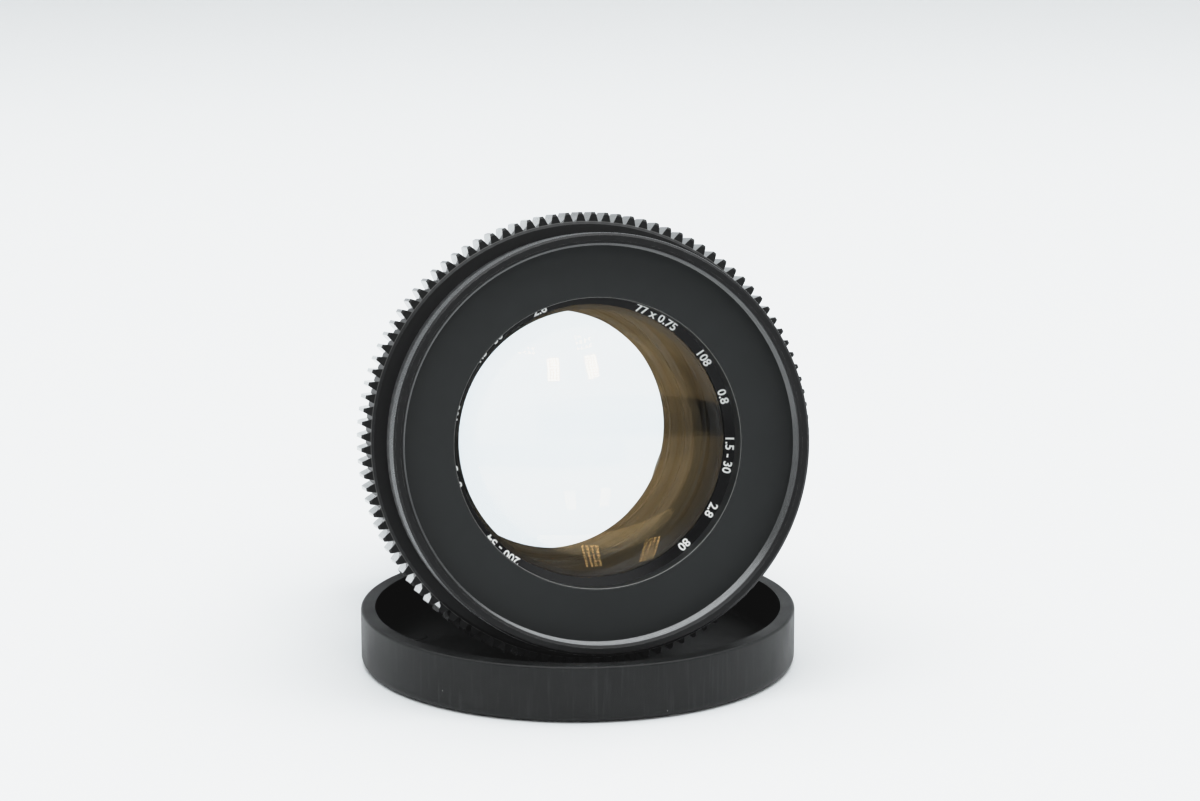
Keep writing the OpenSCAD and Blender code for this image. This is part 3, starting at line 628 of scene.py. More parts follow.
def knurl_finish(finishes, pitch, radius):
    """The knurled edge: slanting cuts, with a painted highlight in pale metal stripes on the points between them.
    """
    material, wires, shader = new_finish("knurled edge")
    space = wires.group("lens space")
    grain = wires.group("fine grain", Size=METAL_GRAIN)
    turns = wires.times(space["Angle"], round(FULL_TURN * radius / pitch))
    slant = wires.times(space["Station"], FULL_TURN / pitch)
    wave = wires.math("SINE", wires.math("ADD", turns, slant))
    # Painted highlight: pale metal on the knurl's points, in stripes where light would catch them
    rubbed = wires.ramp(wave, -1.0, 1.0)
    wires.feed(shader, {
        "Base Color": wires.mix(rubbed, finishes.anodised, finishes.knurl),
        "Roughness": wires.ramp(grain["Patches"], *SOFT, 0.24, 0.36),
        "Metallic": wires.times(rubbed, 0.6),
        "Normal": wires.bump(wave, 0.01 * MM),
    })
    return material


def moulded(name, colour, speck_colour, roughness, grain_size, relief, dust=0.0, streaks=0.0):
    """Moulded plastic or rubber: an even grain, soft patches of gloss, upright streaks and a little dust."""
    material, wires, shader = new_finish(name)
    grain = wires.group("fine grain", Size=grain_size)
    specks = wires.group("dust", Spacing=2.4 * MM, Amount=dust)["Mask"]
    rubbed = wires.group("edge wear", Width=0.4 * MM, Amount=0.30)["Mask"]
    streak = wires.group("upright streaks", Width=0.7 * MM)["Height"]
    pale = scaled(colour, 2.4, 0.006)
    shade = wires.mix(wires.ramp(grain["Patches"], 0.35, 0.7, 0.0, 0.30), colour, pale)
    shade = wires.mix(wires.ramp(streak, 0.5, 0.75, 0.0, streaks), shade, pale)
    shade = wires.mix(rubbed, shade, pale)
    wires.feed(shader, {
        "Base Color": wires.mix(specks, shade, speck_colour),
        "Roughness": wires.ramp(grain["Patches"], *SOFT, roughness - 0.06, roughness + 0.06),
        "IOR": DULL_INDEX,
        "Normal": wires.bump(grain["Height"], relief),
    })
    return material


def coated_glass(name, finishes, glass):
    """Polished glass with an anti-reflection coat: its tint lowers and colours what the faces reflect."""
    material, wires, shader = new_finish(name)
    grain = wires.group("fine grain", Size=0.2 * MM)
    wires.feed(shader, {
        "Base Color": wires.mix(grain["Patches"], finishes.glass, scaled(finishes.glass, 0.995)),
        "Roughness": 0.0,
        "IOR": glass.index,
        "Transmission Weight": 1.0,
        "Specular Tint": scaled(finishes.coating, glass.coat),
    })
    return material


def filled_paint(name, colour):
    """Paint in engraved figures: even, with slightly thin patches."""
    material, wires, shader = new_finish(name)
    grain = wires.group("fine grain", Size=0.08 * MM)
    wires.feed(shader, {
        "Base Color": wires.mix(wires.ramp(grain["Height"], 0.45, 0.75), colour, scaled(colour, 0.85)),
        "Roughness": wires.ramp(grain["Patches"], *SOFT, 0.42, 0.58),
        "Normal": wires.bump(grain["Height"], 0.004 * MM),
    })
    return material


class LENS_OT_finishes(bpy.types.Operator):
    """Give every solid of the lens and its cap the finish of the real piece"""

    bl_idname = "lens.finishes"
    bl_label = "Finish the solids"

    def execute(self, context):
        finishes = context.scene.lens_finishes
        for build in GROUPS:
            build()
        wanted = {
            node: coated_glass(node.replace("_", " "), finishes, glass) for node, glass in GLASSES.items()}
        for finish, nodes in (*self.metals(finishes), *self.plastics(finishes)):
            wanted.update(dict.fromkeys(nodes.split(), finish))
        blade = turned_metal("blade steel", finishes.blade, 0.38, 0.20 * MM, "Radius", metallic=0.6)
        for name, node in frame["nodes"].items():
            node.data.materials.clear()
            node.data.materials.append(wanted.get(name, blade))
        return {"FINISHED"}

    def metals(self, finishes):
        """Metal finishes, each with the nodes that have it."""
        bare = finishes.bare_metal
        anodised = turned_metal("black anodised", finishes.anodised, 0.40, 0.22 * MM, bare=bare)
        inner = turned_metal(
            "cell black", finishes.inner, 0.34, 0.55 * MM, wear=0.0, depth=0.05 * MM, contrast=0.6)
        dark = turned_metal("baffle black", finishes.inner_dark, 0.55, 0.30 * MM, wear=0.0)
        gloss = turned_metal(
            "gloss black", finishes.gloss, 0.14, 0.25 * MM, "Radius", bare, 0.2, depth=0.001 * MM, index=1.2)
        brass = turned_metal("turned brass", finishes.brass, 0.32, 0.25 * MM, metallic=1.0)
        steel = turned_metal("plain steel", finishes.steel, 0.34, 0.12 * MM, "Radius", metallic=1.0)
        chrome = turned_metal("satin chrome", finishes.chrome, 0.24, 0.15 * MM, "Radius", metallic=1.0)
        return (
            (anodised, "main_barrel rear_housing focus_ring aperture_ring front_barrel"),
            (inner, "front_cell spacer_ring pair_ring"),
            (dark, "rear_baffle rear_cell rear_ring"),
            (gloss, "name_ring"),
            (brass, "helicoid_ring guide_keys focus_retainer"),
            (steel, "mount_screws gear_set_screws iris_drive_ring"),
            (chrome, "mount_plate"),
            (front_ring_finish(finishes), "front_ring"),
            (gear_finish(finishes), "focus_gear"),
            (iris_plate_finish(finishes), "iris_base"),
        )

    def plastics(self, finishes):
        """Moulded finishes, each with its node."""
        cap = moulded("cap plastic", finishes.cap, finishes.dust, 0.38, 0.16 * MM, 0.04 * MM, 0.7, 0.6)
        rubber = moulded("grip rubber", finishes.rubber, finishes.dust, 0.62, 0.12 * MM, 0.015 * MM, 0.3)
        return (cap, "front_cap"), (rubber, "focus_grip")


class LENS_OT_glass(bpy.types.Operator):
    """Finely ground elements, in the place of their solids, whose facets would show at the middle"""

    bl_idname = "lens.glass"
    bl_label = "Grind the glass"

    AROUND = 192
    RINGS = 49

    def execute(self, context):
        for node, glass in GLASSES.items():
            material = bpy.data.materials[node.replace("_", " ")]
            piece = make_piece(
                node + "_glass", *self.element(reach(node), glass), material, "front_unit", "coated_glass",
                smooth_degrees=5.0)
            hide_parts(node)
        return {"FINISHED"}

    def element(self, solid, glass):
        """A profile turned about the axis: two faces that fall along a circle, flat lands and the edge."""
        angle = full_circle(self.AROUND)
        edge = solid.outer - GLASS_LAND
        share = np.linspace(0.0, edge, self.RINGS)
        front_land = solid.front - max(self.fall(edge, glass.front), 0.0)
        rear_land = solid.rear + max(self.fall(edge, glass.rear), 0.0)
        front = front_land + self.fall(edge, glass.front) - self.fall(share, glass.front)
        rear = rear_land - self.fall(edge, glass.rear) + self.fall(share, glass.rear)
        radius = np.concatenate([share, [solid.outer, solid.outer], share[::-1]])
        station = np.concatenate([rear, [rear_land, front_land], front[::-1]])
        points = about_axis(radius[None, :], angle[:, None], station[None, :])
        return points, grid_faces(self.AROUND, len(radius), True, False)

    def fall(self, distance, bend):
        """How far a round face falls back at a distance from its middle; a hollow one rises."""
        return bend - math.copysign(1.0, bend) * np.sqrt(bend ** 2 - np.square(distance))


class LENS_OT_front_knurl(bpy.types.Operator):
    """Fine knurl round the front ring, behind its rim"""

    bl_idname = "lens.front_knurl"
    bl_label = "Knurl the front ring"

    def execute(self, context):
        details = context.scene.lens_details
        ring = reach("front_ring")
        knurl = knurl_finish(context.scene.lens_finishes, details.knurl_pitch, ring.outer)
        band = self.band(details, ring)
        make_piece("front_knurl", *band, knurl, "front_unit", "black_anodised", smooth_degrees=5.0)
        return {"FINISHED"}

    def band(self, details, ring):
        """Closed ring whose outer wall stands high at every other point of a net, like a chessboard."""
        half = details.knurl_pitch / 2
        around = 2 * round(FULL_TURN * ring.outer / details.knurl_pitch)
        rows = 2 * round(details.knurl_width / half / 2) + 1
        station = ring.front - RIM_CHAMFER - half * np.arange(rows - 1, -1, -1)
        high = (np.arange(around)[:, None] + np.arange(rows)[None, :]) % 2
        high[:, [0, -1]] = 0
        buried = ring.outer - 2 * details.knurl_depth
        return sleeve(ring.outer + details.knurl_depth * high, station, buried)


class LENS_OT_filter_thread(bpy.types.Operator):
    """Fine thread in the mouth of the front ring"""

    bl_idname = "lens.filter_thread"
    bl_label = "Cut the filter thread"

    # Half width of the ridge in pitches, its depth in the wall, steps to a turn, and the part of a turn, as
    # a divisor, in which an end fades out
    HALF_WIDTH = 0.46
    SUNK = 0.06 * MM
    STEPS = 160
    FADE = 4

    def execute(self, context):
        finishes = context.scene.lens_finishes
        ring = reach("front_ring")
        ridge = self.ridge(
            context.scene.lens_details, ring.front - PLATE_DEPTH, ring.front - MOUTH_CHAMFER)
        thread = turned_metal(
            "thread black", finishes.thread, 0.28, 0.20 * MM, bare=finishes.bare_metal, wear=0.25,
            metallic=0.8)
        make_piece("filter_thread", *ridge, thread, "front_unit", "black_anodised", smooth_degrees=20.0)
        return {"FINISHED"}

    def ridge(self, details, rear, front):
        """A three-sided ridge swept along a helix: one turn for each pitch, and the ends fade out."""
        half = self.HALF_WIDTH * details.thread_pitch
        turns = (front - rear - 2 * half) / details.thread_pitch
        steps = int(round(turns * self.STEPS))
        share = np.linspace(0.0, 1.0, steps + 1)
        angle = FULL_TURN * turns * share
        middle = rear + half + details.thread_pitch * turns * share
        fade = np.clip(np.minimum(share, 1.0 - share) * turns * self.FADE, 0.0, 1.0)
        foot = np.full_like(share, FILTER_BORE + self.SUNK)
        radius = np.stack([foot, foot, foot - fade * (details.thread_depth + self.SUNK)], axis=1)
        station = np.stack([middle - half * fade, middle + half * fade, middle], axis=1)
        return about_axis(radius, angle[:, None], station), grid_faces(steps + 1, 3, False, True)


class LENS_OT_name_markings(bpy.types.Operator):
    """Plain figures on the ring round the front glass"""

    bl_idname = "lens.name_markings"
    bl_label = "Mark the ring round the glass"

    # Plain figures and where they stand, in degrees clockwise from the top
    FIGURES = (
        ("77 x 0.75", 30.0), ("108", 56.0), ("0.8", 74.0), ("1.5 - 30", 98.0), ("2.8", 122.0),
        ("80", 140.0), ("200 - 54", 222.0), ("6 - 5", 258.0), ("108", 284.0), ("1.5 - 30", 314.0),
        ("2.8", 340.0))
    BOLD = 0.025
    MARGIN = 0.15 * MM

    def execute(self, context):
        details = context.scene.lens_details
        ring = reach("name_ring")
        slope = math.atan2(NAME_RING_FALL, ring.outer - ring.inner)
        base = ring.inner + self.MARGIN
        start = (base, ring.front - (ring.outer - base) * math.tan(slope))
        run = (math.cos(slope), math.sin(slope))
        parts = [
            (lettering(text, details.name_height, bold=self.BOLD), TOP - math.radians(clockwise))
            for text, clockwise in self.FIGURES]
        figures = marked(details, parts, start, run, base + details.name_height / 2, hand=-1)
        white = filled_paint("white fill", context.scene.lens_finishes.white)
        make_piece("name_markings", *figures, white, "front_unit")
        return {"FINISHED"}


class LENS_OT_focus_scale(bpy.types.Operator):
    """Distance numbers on the focus ring and their index on the barrel"""

    bl_idname = "lens.focus_scale"
    bl_label = "Mark the focus scale"

    # Marked distances, and the focal length that sets how far the front unit moves out for each, in metres
    DISTANCES = (1.5, 1.7, 2, 2.5, 3, 4, 5, 7, 10, 15, 30)
    FOCAL_LENGTH = 0.135
    FOOT = 0.3048
    # Where the two lines of numbers stand, and the marks as width, height and place above their edge
    FIRST_LINE = 3.6 * MM
    SECOND_LINE = 8.6 * MM
    TICK = (0.3 * MM, 2.0 * MM, 0.9 * MM)
    INDEX = (0.35 * MM, 0.66 * MM, 0.02 * MM)
    SIDE_INDEX = (0.2 * MM, 0.4 * MM, 0.28 * MM)
    SIDE_DEGREES = (-8, -4, 4, 8)
    # Gap between the focus ring and the barrel's shoulder, and the breadth of the shoulder's edge
    SHOULDER_GAP = 0.3 * MM
    SHOULDER_EDGE = 0.7 * MM

    def execute(self, context):
        details = context.scene.lens_details
        ring = reach("focus_ring")
        turn = math.radians(JOINTS["focus_turn"]["range_deg"][1])
        travel = JOINTS["focus_extend"]["range_m"][1]
        numbers = []
        feet = []
        for distance in self.DISTANCES:
            extension = self.FOCAL_LENGTH ** 2 / (distance - 2 * self.FOCAL_LENGTH)
            angle = TOP - turn * extension / travel
            numbers.append((lettering(f"{distance:g}", details.scale_height, self.FIRST_LINE), angle))
            numbers.append((stroke(*self.TICK), angle))
            in_feet = f"{distance / self.FOOT:.0f}"
            feet.append((lettering(in_feet, details.scale_height, self.SECOND_LINE), angle))
        numbers.append((lettering("∞", details.scale_height, self.FIRST_LINE), TOP))
        numbers.append((stroke(*self.TICK), TOP))
        wall = ((ring.outer, ring.rear), (0.0, 1.0), ring.outer)
        white = bpy.data.materials["white fill"]
        amber = filled_paint("amber fill", context.scene.lens_finishes.amber)
        make_piece("focus_numbers", *marked(details, numbers, *wall), white, "focus")
        make_piece("focus_second_numbers", *marked(details, feet, *wall), amber, "focus")
        self.index(details, ring, white)
        return {"FINISHED"}

    def index(self, details, ring, white):
        """A line on the barrel's shoulder, and two shorter ones at each side of it."""
        radius = reach("main_barrel").outer
        edge = ((radius, ring.rear - self.SHOULDER_GAP - self.SHOULDER_EDGE), (0.0, 1.0), radius)
        marks = [(stroke(*self.INDEX), TOP)]
        marks += [(stroke(*self.SIDE_INDEX), TOP + math.radians(turn)) for turn in self.SIDE_DEGREES]
        make_piece("focus_index", *marked(details, marks, *edge), white, "barrel")


class LENS_OT_aperture_scale(bpy.types.Operator):
    """Stop numbers on the aperture ring's bevel and their index on the neck"""

    bl_idname = "lens.aperture_scale"
    bl_label = "Mark the stops"

    STOPS = ("2.8", "4", "5.6", "8", "11", "16", "22")
    # Where on the bevel the figures stand, as a share of its slope, and the marks as width and height
    FOOT_SHARE = 0.22
    TICK = (0.25 * MM, 0.8 * MM)
    TICK_GAP = 0.7 * MM
    INDEX = (0.35 * MM, 4.0 * MM)
    INDEX_GAP = 0.5 * MM

    def execute(self, context):
        details = context.scene.lens_details
        ring = reach("aperture_ring")
        neck = reach("main_barrel", ring.front, ring.front + 2 * details.stop_height).outer
        low = np.array([ring.outer, ring.front - BEVEL_LENGTH])
        high = np.array([neck + BEVEL_OVERHANG, ring.front])
        run = unit(high - low)
        start = low + self.FOOT_SHARE * (high - low)
        bevel = (start, run, start[0] + run[0] * details.stop_height / 2)
        turn = math.radians(JOINTS["aperture_turn"]["range_deg"][1]) / (len(self.STOPS) - 1)
        tick = stroke(*self.TICK, details.stop_height + self.TICK_GAP)
        parts = []
        for i, stop in enumerate(self.STOPS):
            parts.append((lettering(stop, details.stop_height), TOP - turn * i))
            parts.append((tick, TOP - turn * i))
        white = bpy.data.materials["white fill"]
        make_piece("stop_numbers", *marked(details, parts, *bevel), white, "aperture")
        wall = ((neck, ring.front + self.INDEX_GAP), (0.0, 1.0), neck)
        line = [(stroke(*self.INDEX), TOP)]
        make_piece("stop_index", *marked(details, line, *wall), white, "barrel")
        return {"FINISHED"}


class LENS_OT_focus_grip(bpy.types.Operator):
    """Rubber grip with rows of blocks, in the place of its plain ribbed solid"""

    bl_idname = "lens.focus_grip"
    bl_label = "Mould the focus grip"

    # Blocks round the grip, steps to a block round and along it, and how soft a groove's edge is, in grooves
    RIBS = 60
    STEPS_ROUND = 14
    STEPS_ALONG = 12
    SOFTNESS = 0.45

    def execute(self, context):
        details = context.scene.lens_details
        rubber = bpy.data.materials["grip rubber"]
        blocks = self.blocks(details, reach("focus_grip"))
        piece = make_piece("moulded_grip", *blocks, rubber, "focus", "grip_rubber", smooth_degrees=50.0)
        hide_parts("focus_grip")
        return {"FINISHED"}

    def blocks(self, details, grip):
        """Closed sleeve whose outer wall drops into grooves round and along it, with soft edges.

        The drop is a smooth step of the distance to the nearest groove's middle, the lesser of two ways.
        """
        around = self.RIBS * self.STEPS_ROUND
        rows = details.grip_rows * self.STEPS_ALONG + 1
        share = np.linspace(0.0, 1.0, rows)
        station = grip.rear + (grip.front - grip.rear) * share
        rib = FULL_TURN * grip.outer / self.RIBS
        across = np.abs((np.arange(around) / self.STEPS_ROUND) % 1.0 - 0.5) * rib
        block = (grip.front - grip.rear) / details.grip_rows
        along = np.abs((share * details.grip_rows + 0.5) % 1.0 - 0.5) * block
        away = np.minimum(across[:, None], along[None, :]) - details.grip_groove / 2
        rise = np.clip(away / (self.SOFTNESS * details.grip_groove) + 0.5, 0.0, 1.0)
        rise = rise * rise * (3.0 - 2.0 * rise)
        return sleeve(grip.outer - details.grip_depth * (1.0 - rise), station, grip.inner)


class LENS_OT_screws(bpy.types.Operator):
    """Screws with real sockets: cross recesses in the mount and hexagons in the gear's hub"""

    bl_idname = "lens.screws"
    bl_label = "Cut the screws' sockets"

    COUNT = 3
    HEAD_HEIGHT = 1.2 * MM
    AROUND = 96
    # Rounded edge of a screw's top, as shares of its radius and depths in radii, and the rings of the top
    EDGE_SHARES = (1.0, 0.985, 0.93)
    EDGE_DEPTHS = (0.06, 0.015, 0.0)
    TOP_SHARES = np.linspace(0.88, 0.04, 22)
    # Half widths of the sockets, the slots' half length, and the slants of their walls, in radii
    SLOT = 0.13
    SLOT_REACH = 0.62
    SLOT_END = 0.10
    HEXAGON = 0.50
    SLANT = 0.06

    def execute(self, context):
        details = context.scene.lens_details
        mount = reach("mount_screws")
        head = (mount.outer - mount.inner) / 2
        heads = []
        for angle in solid_angles("mount_screws", self.COUNT):
            place = about_axis((mount.outer + mount.inner) / 2, angle, mount.rear)
            heads.append(self.screw(place, -AXIS, head, self.HEAD_HEIGHT, self.cross, details.socket_depth))
        self.piece("mount_screw_heads", heads, "barrel", "mount_screws")
        hub = reach("gear_set_screws")
        width = (hub.front - hub.rear) / 2
        studs = []
        for angle in solid_angles("gear_set_screws", self.COUNT):
            outward = about_axis(1.0, angle, 0.0) - FLANGE
            place = about_axis(hub.outer, angle, (hub.front + hub.rear) / 2)
            studs.append(self.screw(
                place, outward, width, hub.outer - hub.inner, self.hexagon, details.socket_depth))
        self.piece("hub_set_screws", studs, "focus", "gear_set_screws")
        return {"FINISHED"}

    def cross(self, x, y):
        """Share of the depth in two crossed slots that fade out at their ends."""
        near = np.minimum(np.abs(x), np.abs(y))
        far = np.maximum(np.abs(x), np.abs(y))
        wall = np.clip((self.SLOT - near) / self.SLANT, 0.0, 1.0)
        return wall * np.clip((self.SLOT_REACH - far) / self.SLOT_END, 0.0, 1.0)

    def hexagon(self, x, y):
        """Share of the depth in a hexagon: the greatest of three distances stays under its half width."""
        turns = np.radians([0.0, 60.0, 120.0])
        widest = np.maximum.reduce([np.abs(x * math.cos(turn) + y * math.sin(turn)) for turn in turns])
        return np.clip((self.HEXAGON - widest) / self.SLANT, 0.0, 1.0)

    def screw(self, place, outward, radius, height, recess, depth):
        """A screw's body: rings of points from the foot up the side and over the top into its recess.

        The top's depth is a function of the place on it, given by recess in shares of the radius.
        """
        angle = full_circle(self.AROUND)
        share = np.concatenate([self.EDGE_SHARES[:1], self.EDGE_SHARES, self.TOP_SHARES])
        level = np.zeros(len(share))
        level[0] = -height
        level[1:1 + len(self.EDGE_DEPTHS)] = -radius * np.array(self.EDGE_DEPTHS)
        socket = recess(share * np.cos(angle)[:, None], share * np.sin(angle)[:, None])
        out = level - depth * socket * (share <= self.TOP_SHARES[0])
        side = unit(np.cross(outward, AXIS if abs(outward @ AXIS) < 0.5 else ACROSS))
        return turned_body(place, outward, side, self.AROUND, radius * share, out)

    def piece(self, name, bodies, body, node):
        """All screws of one kind as one piece that stands for its node."""
        steel = bpy.data.materials["plain steel"]
        made = make_piece(name, *capped(bodies), steel, body, "plain_steel")
        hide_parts(node)


class LENS_OT_mount_index(bpy.types.Operator):
    """Red index on the rear housing"""

    bl_idname = "lens.mount_index"
    bl_label = "Set the mounting index"

    # Angles of the dome's profile, from its foot in the housing to its top, and its height in radii
    PROFILE = np.linspace(-0.35, TOP * 0.98, 14)
    HEIGHT = 0.45
    AROUND = 48

    def execute(self, context):
        radius = context.scene.lens_details.index_radius
        housing = reach("rear_housing")
        outward = about_axis(1.0, TOP, 0.0) - FLANGE
        place = about_axis(housing.outer, TOP, (housing.rear + housing.front) / 2)
        dome = self.dome(place, outward, radius)
        red = filled_paint("red fill", context.scene.lens_finishes.red)
        make_piece("mount_index", *capped([dome]), red, "barrel")
        return {"FINISHED"}

    def dome(self, place, outward, radius):
        """A low dome: a circle's profile, pressed flat, turned about the way outward."""
        across = radius * np.cos(self.PROFILE)
        out = self.HEIGHT * radius * np.sin(self.PROFILE)
        return turned_body(place, outward, AXIS, self.AROUND, across, out)


class LENS_OT_cap_marks(bpy.types.Operator):
    """Round moulding marks on the cap's floor"""

    bl_idname = "lens.cap_marks"
    bl_label = "Mould the cap's marks"

    # How many marks, their circle as a share of the cap's radius, the first one's angle, and their profile
    # as shares of a mark's radius and height
    COUNT = 4
    CIRCLE = 0.78
    FIRST = math.radians(157.0)
    SHARES = np.array([1.04, 1.0, 0.96, 0.90, 0.80, 0.60, 0.30, 0.05])
    LEVELS = np.array([-0.4, 0.2, 0.7, 0.95, 1.0, 0.9, 0.82, 0.8])
    AROUND = 64

    def execute(self, context):
        details = context.scene.lens_details
        low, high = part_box("front_cap")
        circle = self.CIRCLE * high.x
        marks = []
        for angle in self.FIRST + full_circle(self.COUNT):
            middle = np.array([circle * math.cos(angle), circle * math.sin(angle), low.z + CAP_FLOOR])
            marks.append(self.mark(middle, details.pin_mark_radius, details.pin_mark_height))
        plastic = bpy.data.materials["cap plastic"]
        make_piece("cap_pin_marks", *capped(marks), plastic, "cap", "cap_plastic")
        return {"FINISHED"}

    def mark(self, place, radius, height):
        """A low round mark with a rounded edge and a slightly hollow top: its profile turned upright."""
        upright = np.array([0.0, 0.0, 1.0])
        return turned_body(place, upright, ACROSS, self.AROUND, radius * self.SHARES, height * self.LEVELS)


class LENS_OT_studio(bpy.types.Operator):
    """Pale floor with a curved backdrop, soft lights and the camera"""

    bl_idname = "lens.studio"
    bl_label = "Set up the studio"

    # The paper's flat radius, its bend's radius, its height and a first ring on the flat, in metres, and
    # the points along its bend and round it
    PAPER_FLAT = 1.5
    PAPER_BEND = 0.9
    PAPER_TALL = 3.0
    PAPER_RING = 0.4
    PAPER_STEPS = 33
    PAPER_AROUND = 96
    # Painted shade: the paper is darker far from the lens, where less light falls; from where to where it fades,
    # in metres, and to what share
    PAPER_SHADE_FADE = (0.55, 1.25)
    PAPER_FAR_SHADE = 0.80
    # Brightest light that the picture holds, and its response from that share of light to brightness
    FILM_WHITE = 2.0
    FILM = ((0.0, 0.005), (0.1, 0.2), (0.2, 0.4), (0.35, 0.65), (0.5, 0.80), (0.8, 0.91), (1.0, 0.93))
    # Two panels of small bright squares: their middles, the squares' pitch and size, and their strength
    LAMPS = {"left_lamp": (-0.08, -0.89, 0.67), "right_lamp": (0.20, -0.87, 0.67)}
    LAMP_PITCH = 22.0 * MM
    LAMP_SQUARE = 13.0 * MM
    LAMP_ROWS = 8
    LAMP_COLUMNS = 4
    LAMP_STRENGTH = 40.0
    # The softbox's power in watts, its width and depth, its place and its colour
    SOFTBOX_POWER = 72.0
    SOFTBOX_SIZE = (3.2, 2.2)
    SOFTBOX_PLACE = (0.0, 0.0, 1.6)
    SOFTBOX_COLOUR = (0.96, 0.985, 1.0)
    # The dark board's ends, its foot and top, and how far in front it stands
    BOARD_ENDS = (-0.7, 0.4)
    BOARD_HEIGHTS = (0.0, 0.16)
    BOARD_PLACE = -1.0
    # Width of the camera's sensor in millimetres, its nearest distance, and how often light may bounce
    SENSOR = 36.0
    NEAREST = 0.01
    BOUNCES = 32

    def execute(self, context):
        studio = context.scene.lens_studio
        self.floor(studio)
        self.lights(context, studio)
        self.camera(context, studio)
        self.film(context.scene.view_settings)
        return {"FINISHED"}

    def sheet(self, name, points, faces, material):
        """A thin object of the stage."""
        mesh = bpy.data.meshes.new(name)
        mesh.from_pydata(points.reshape(-1, 3), [], faces)
        mesh.shade_smooth()
        mesh.materials.append(material)
        sheet = put_in_scene(name, mesh)
        return sheet

    def floor(self, studio):
        """A round sheet of paper that lies flat, then rises all round along a quarter circle, with painted shade
        far from the lens.
        """
        rise = np.linspace(0.0, TOP, self.PAPER_STEPS)
        turn = full_circle(self.PAPER_AROUND)
        bend = self.PAPER_FLAT + self.PAPER_BEND * np.sin(rise)
        radius = np.concatenate([[0.0, self.PAPER_RING], bend, bend[-1:]])
        height = np.concatenate([[0.0, 0.0], self.PAPER_BEND * (1.0 - np.cos(rise)), [self.PAPER_TALL]])
        points = np.stack(np.broadcast_arrays(
            radius[:, None] * np.cos(turn), radius[:, None] * np.sin(turn), height[:, None]), axis=-1)
        paper, wires, shader = new_finish("studio paper")
        grain = wires.group("fine grain", Size=1.5 * MM)
        away = wires.node("ShaderNodeVectorMath", {0: wires.place()}, operation="LENGTH").outputs["Value"]
        shade = wires.mix(grain["Patches"], studio.floor, scaled(studio.floor, 0.985))
        # Painted shade: the paper's colour falls to a share of itself far from the lens
        far = scaled(studio.floor, self.PAPER_FAR_SHADE)
        wires.feed(shader, {
            "Base Color": wires.mix(wires.ramp(away, *self.PAPER_SHADE_FADE), shade, far), "Roughness": 0.75})
        self.sheet("studio_floor", points, grid_faces(len(radius), len(turn), False, True), paper)

    def lights(self, context, studio):
        """Even light from the room, a wide softbox overhead, two small lamps and a dark board in front."""
        world = bpy.data.worlds.new("studio room")
        world.use_nodes = True
        sky = world.node_tree.nodes["Background"].inputs
        sky["Color"].default_value = studio.world
        sky["Strength"].default_value = studio.world_strength
        context.scene.world = world
        self.softbox()
        for name, place in self.LAMPS.items():
            self.lamp(name, np.array(place), studio)
        self.board(studio)

    def softbox(self):
        """A rectangular light that faces the origin, and that the camera doesn't see."""
        light = bpy.data.lights.new("overhead", "AREA")
        light.shape = "RECTANGLE"
        light.size, light.size_y = self.SOFTBOX_SIZE
        light.energy = self.SOFTBOX_POWER
        light.color = self.SOFTBOX_COLOUR
        holder = put_in_scene("overhead", light)
        holder.location = self.SOFTBOX_PLACE
        facing = Vector() - Vector(self.SOFTBOX_PLACE)
        holder.rotation_euler = facing.to_track_quat("-Z", "Y").to_euler()
        holder.visible_camera = False

    def lamp(self, name, place, studio):
        """A panel of small bright squares in rows and columns, which faces the lens."""
        facing = unit(-place)
        side = unit(np.cross(facing, [0.0, 0.0, 1.0]))
        upward = np.cross(side, facing)
        row, column = np.meshgrid(np.arange(self.LAMP_ROWS), np.arange(self.LAMP_COLUMNS), indexing="ij")
        middle = np.stack([column - (self.LAMP_COLUMNS - 1) / 2, row - (self.LAMP_ROWS - 1) / 2], axis=-1)
        corner = np.array([[-0.5, -0.5], [0.5, -0.5], [0.5, 0.5], [-0.5, 0.5]])
        flat = (self.LAMP_PITCH * middle[..., None, :] + self.LAMP_SQUARE * corner).reshape(-1, 2)
        points = place + flat[:, :1] * side + flat[:, 1:] * upward
        glow, wires, shader = new_finish(name.replace("_", " ") + " glow")
        wires.feed(shader, {"Emission Color": studio.lamp, "Emission Strength": self.LAMP_STRENGTH})
        panel = self.sheet(name, points, np.arange(len(points)).reshape(-1, 4), glow)
        panel.visible_camera = False

    def board(self, studio):
        """A dark board below the camera's view, whose reflection is a dark band across the glass."""
        x, z = np.meshgrid(self.BOARD_ENDS, self.BOARD_HEIGHTS, indexing="ij")
        points = np.stack([x, np.full_like(x, self.BOARD_PLACE), z], axis=-1)
        felt, wires, shader = new_finish("black felt")
        grain = wires.group("fine grain", Size=0.5 * MM)
        shade = wires.mix(grain["Height"], scaled(studio.felt, 0.5), studio.felt)
        wires.feed(shader, {"Base Color": shade, "Roughness": 0.9})
        board = self.sheet("dark_board", points, [[0, 1, 3, 2]], felt)
        board.visible_camera = False

    def film(self, view):
        """Response of a well exposed picture: even up to middle grey, then bent over towards paper white."""
        view.view_transform = "Standard"
        view.use_curve_mapping = True
        view.curve_mapping.white_level = (self.FILM_WHITE,) * 3
        view.curve_mapping.extend = "HORIZONTAL"
        points = view.curve_mapping.curves[3].points
        points[0].location = self.FILM[0]
        points[-1].location = self.FILM[-1]
        for place in self.FILM[1:-1]:
            points.new(*place)
        view.curve_mapping.update()

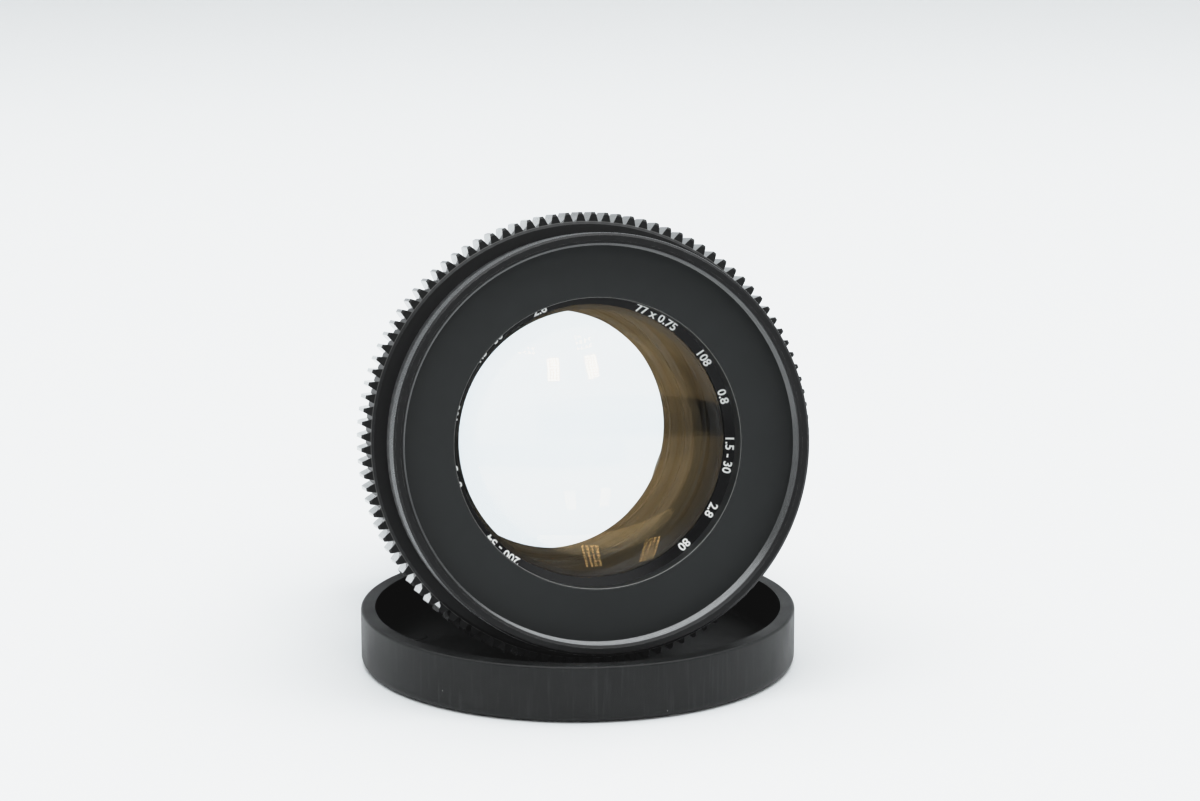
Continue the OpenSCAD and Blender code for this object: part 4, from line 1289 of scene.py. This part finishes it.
    def camera(self, context, studio):
        """The camera at the photograph's place, and enough bounces for light to cross all the glass."""
        data = bpy.data.cameras.new("camera")
        data.lens = studio.focal_length
        data.sensor_width = self.SENSOR
        data.clip_start = self.NEAREST
        camera = put_in_scene("camera", data)
        view = Vector((
            math.sin(studio.azimuth) * math.cos(studio.elevation),
            math.cos(studio.azimuth) * math.cos(studio.elevation),
            math.sin(studio.elevation)))
        camera.location = studio.camera_place
        camera.rotation_euler = view.to_track_quat("-Z", "Y").to_euler()
        bpy.context.scene.camera = camera
        context.scene.cycles.max_bounces = self.BOUNCES
        context.scene.cycles.transmission_bounces = self.BOUNCES


OPERATORS = (
    LENS_OT_finishes,
    LENS_OT_glass,
    LENS_OT_front_knurl,
    LENS_OT_filter_thread,
    LENS_OT_name_markings,
    LENS_OT_focus_scale,
    LENS_OT_aperture_scale,
    LENS_OT_focus_grip,
    LENS_OT_screws,
    LENS_OT_mount_index,
    LENS_OT_cap_marks,
    LENS_OT_studio,
)
SETTINGS = {"lens_details": LensDetails, "lens_finishes": LensFinishes, "lens_studio": StudioSetup}


class LENS_PT_pieces(bpy.types.Panel):
    """Lists the pieces of the lens and their sizes and colours"""

    bl_idname = "LENS_PT_pieces"
    bl_label = "Prime lens"
    bl_space_type = "VIEW_3D"
    bl_region_type = "UI"
    bl_category = "Lens"

    def draw(self, context):
        for operator in OPERATORS:
            self.layout.operator(operator.bl_idname)
        for name, settings in SETTINGS.items():
            for label in settings.__annotations__:
                self.layout.prop(getattr(context.scene, name), label)


CLASSES = (*SETTINGS.values(), *OPERATORS, LENS_PT_pieces)


def register():
    for item in CLASSES:
        bpy.utils.register_class(item)
    for name, settings in SETTINGS.items():
        setattr(bpy.types.Scene, name, PointerProperty(type=settings))


def unregister():
    for name in SETTINGS:
        delattr(bpy.types.Scene, name)
    for item in reversed(CLASSES):
        bpy.utils.unregister_class(item)


def main():
    register()
    for operator in OPERATORS:
        family, name = operator.bl_idname.split(".")
        getattr(getattr(bpy.ops, family), name)()


if __name__ == "__main__":
    main()
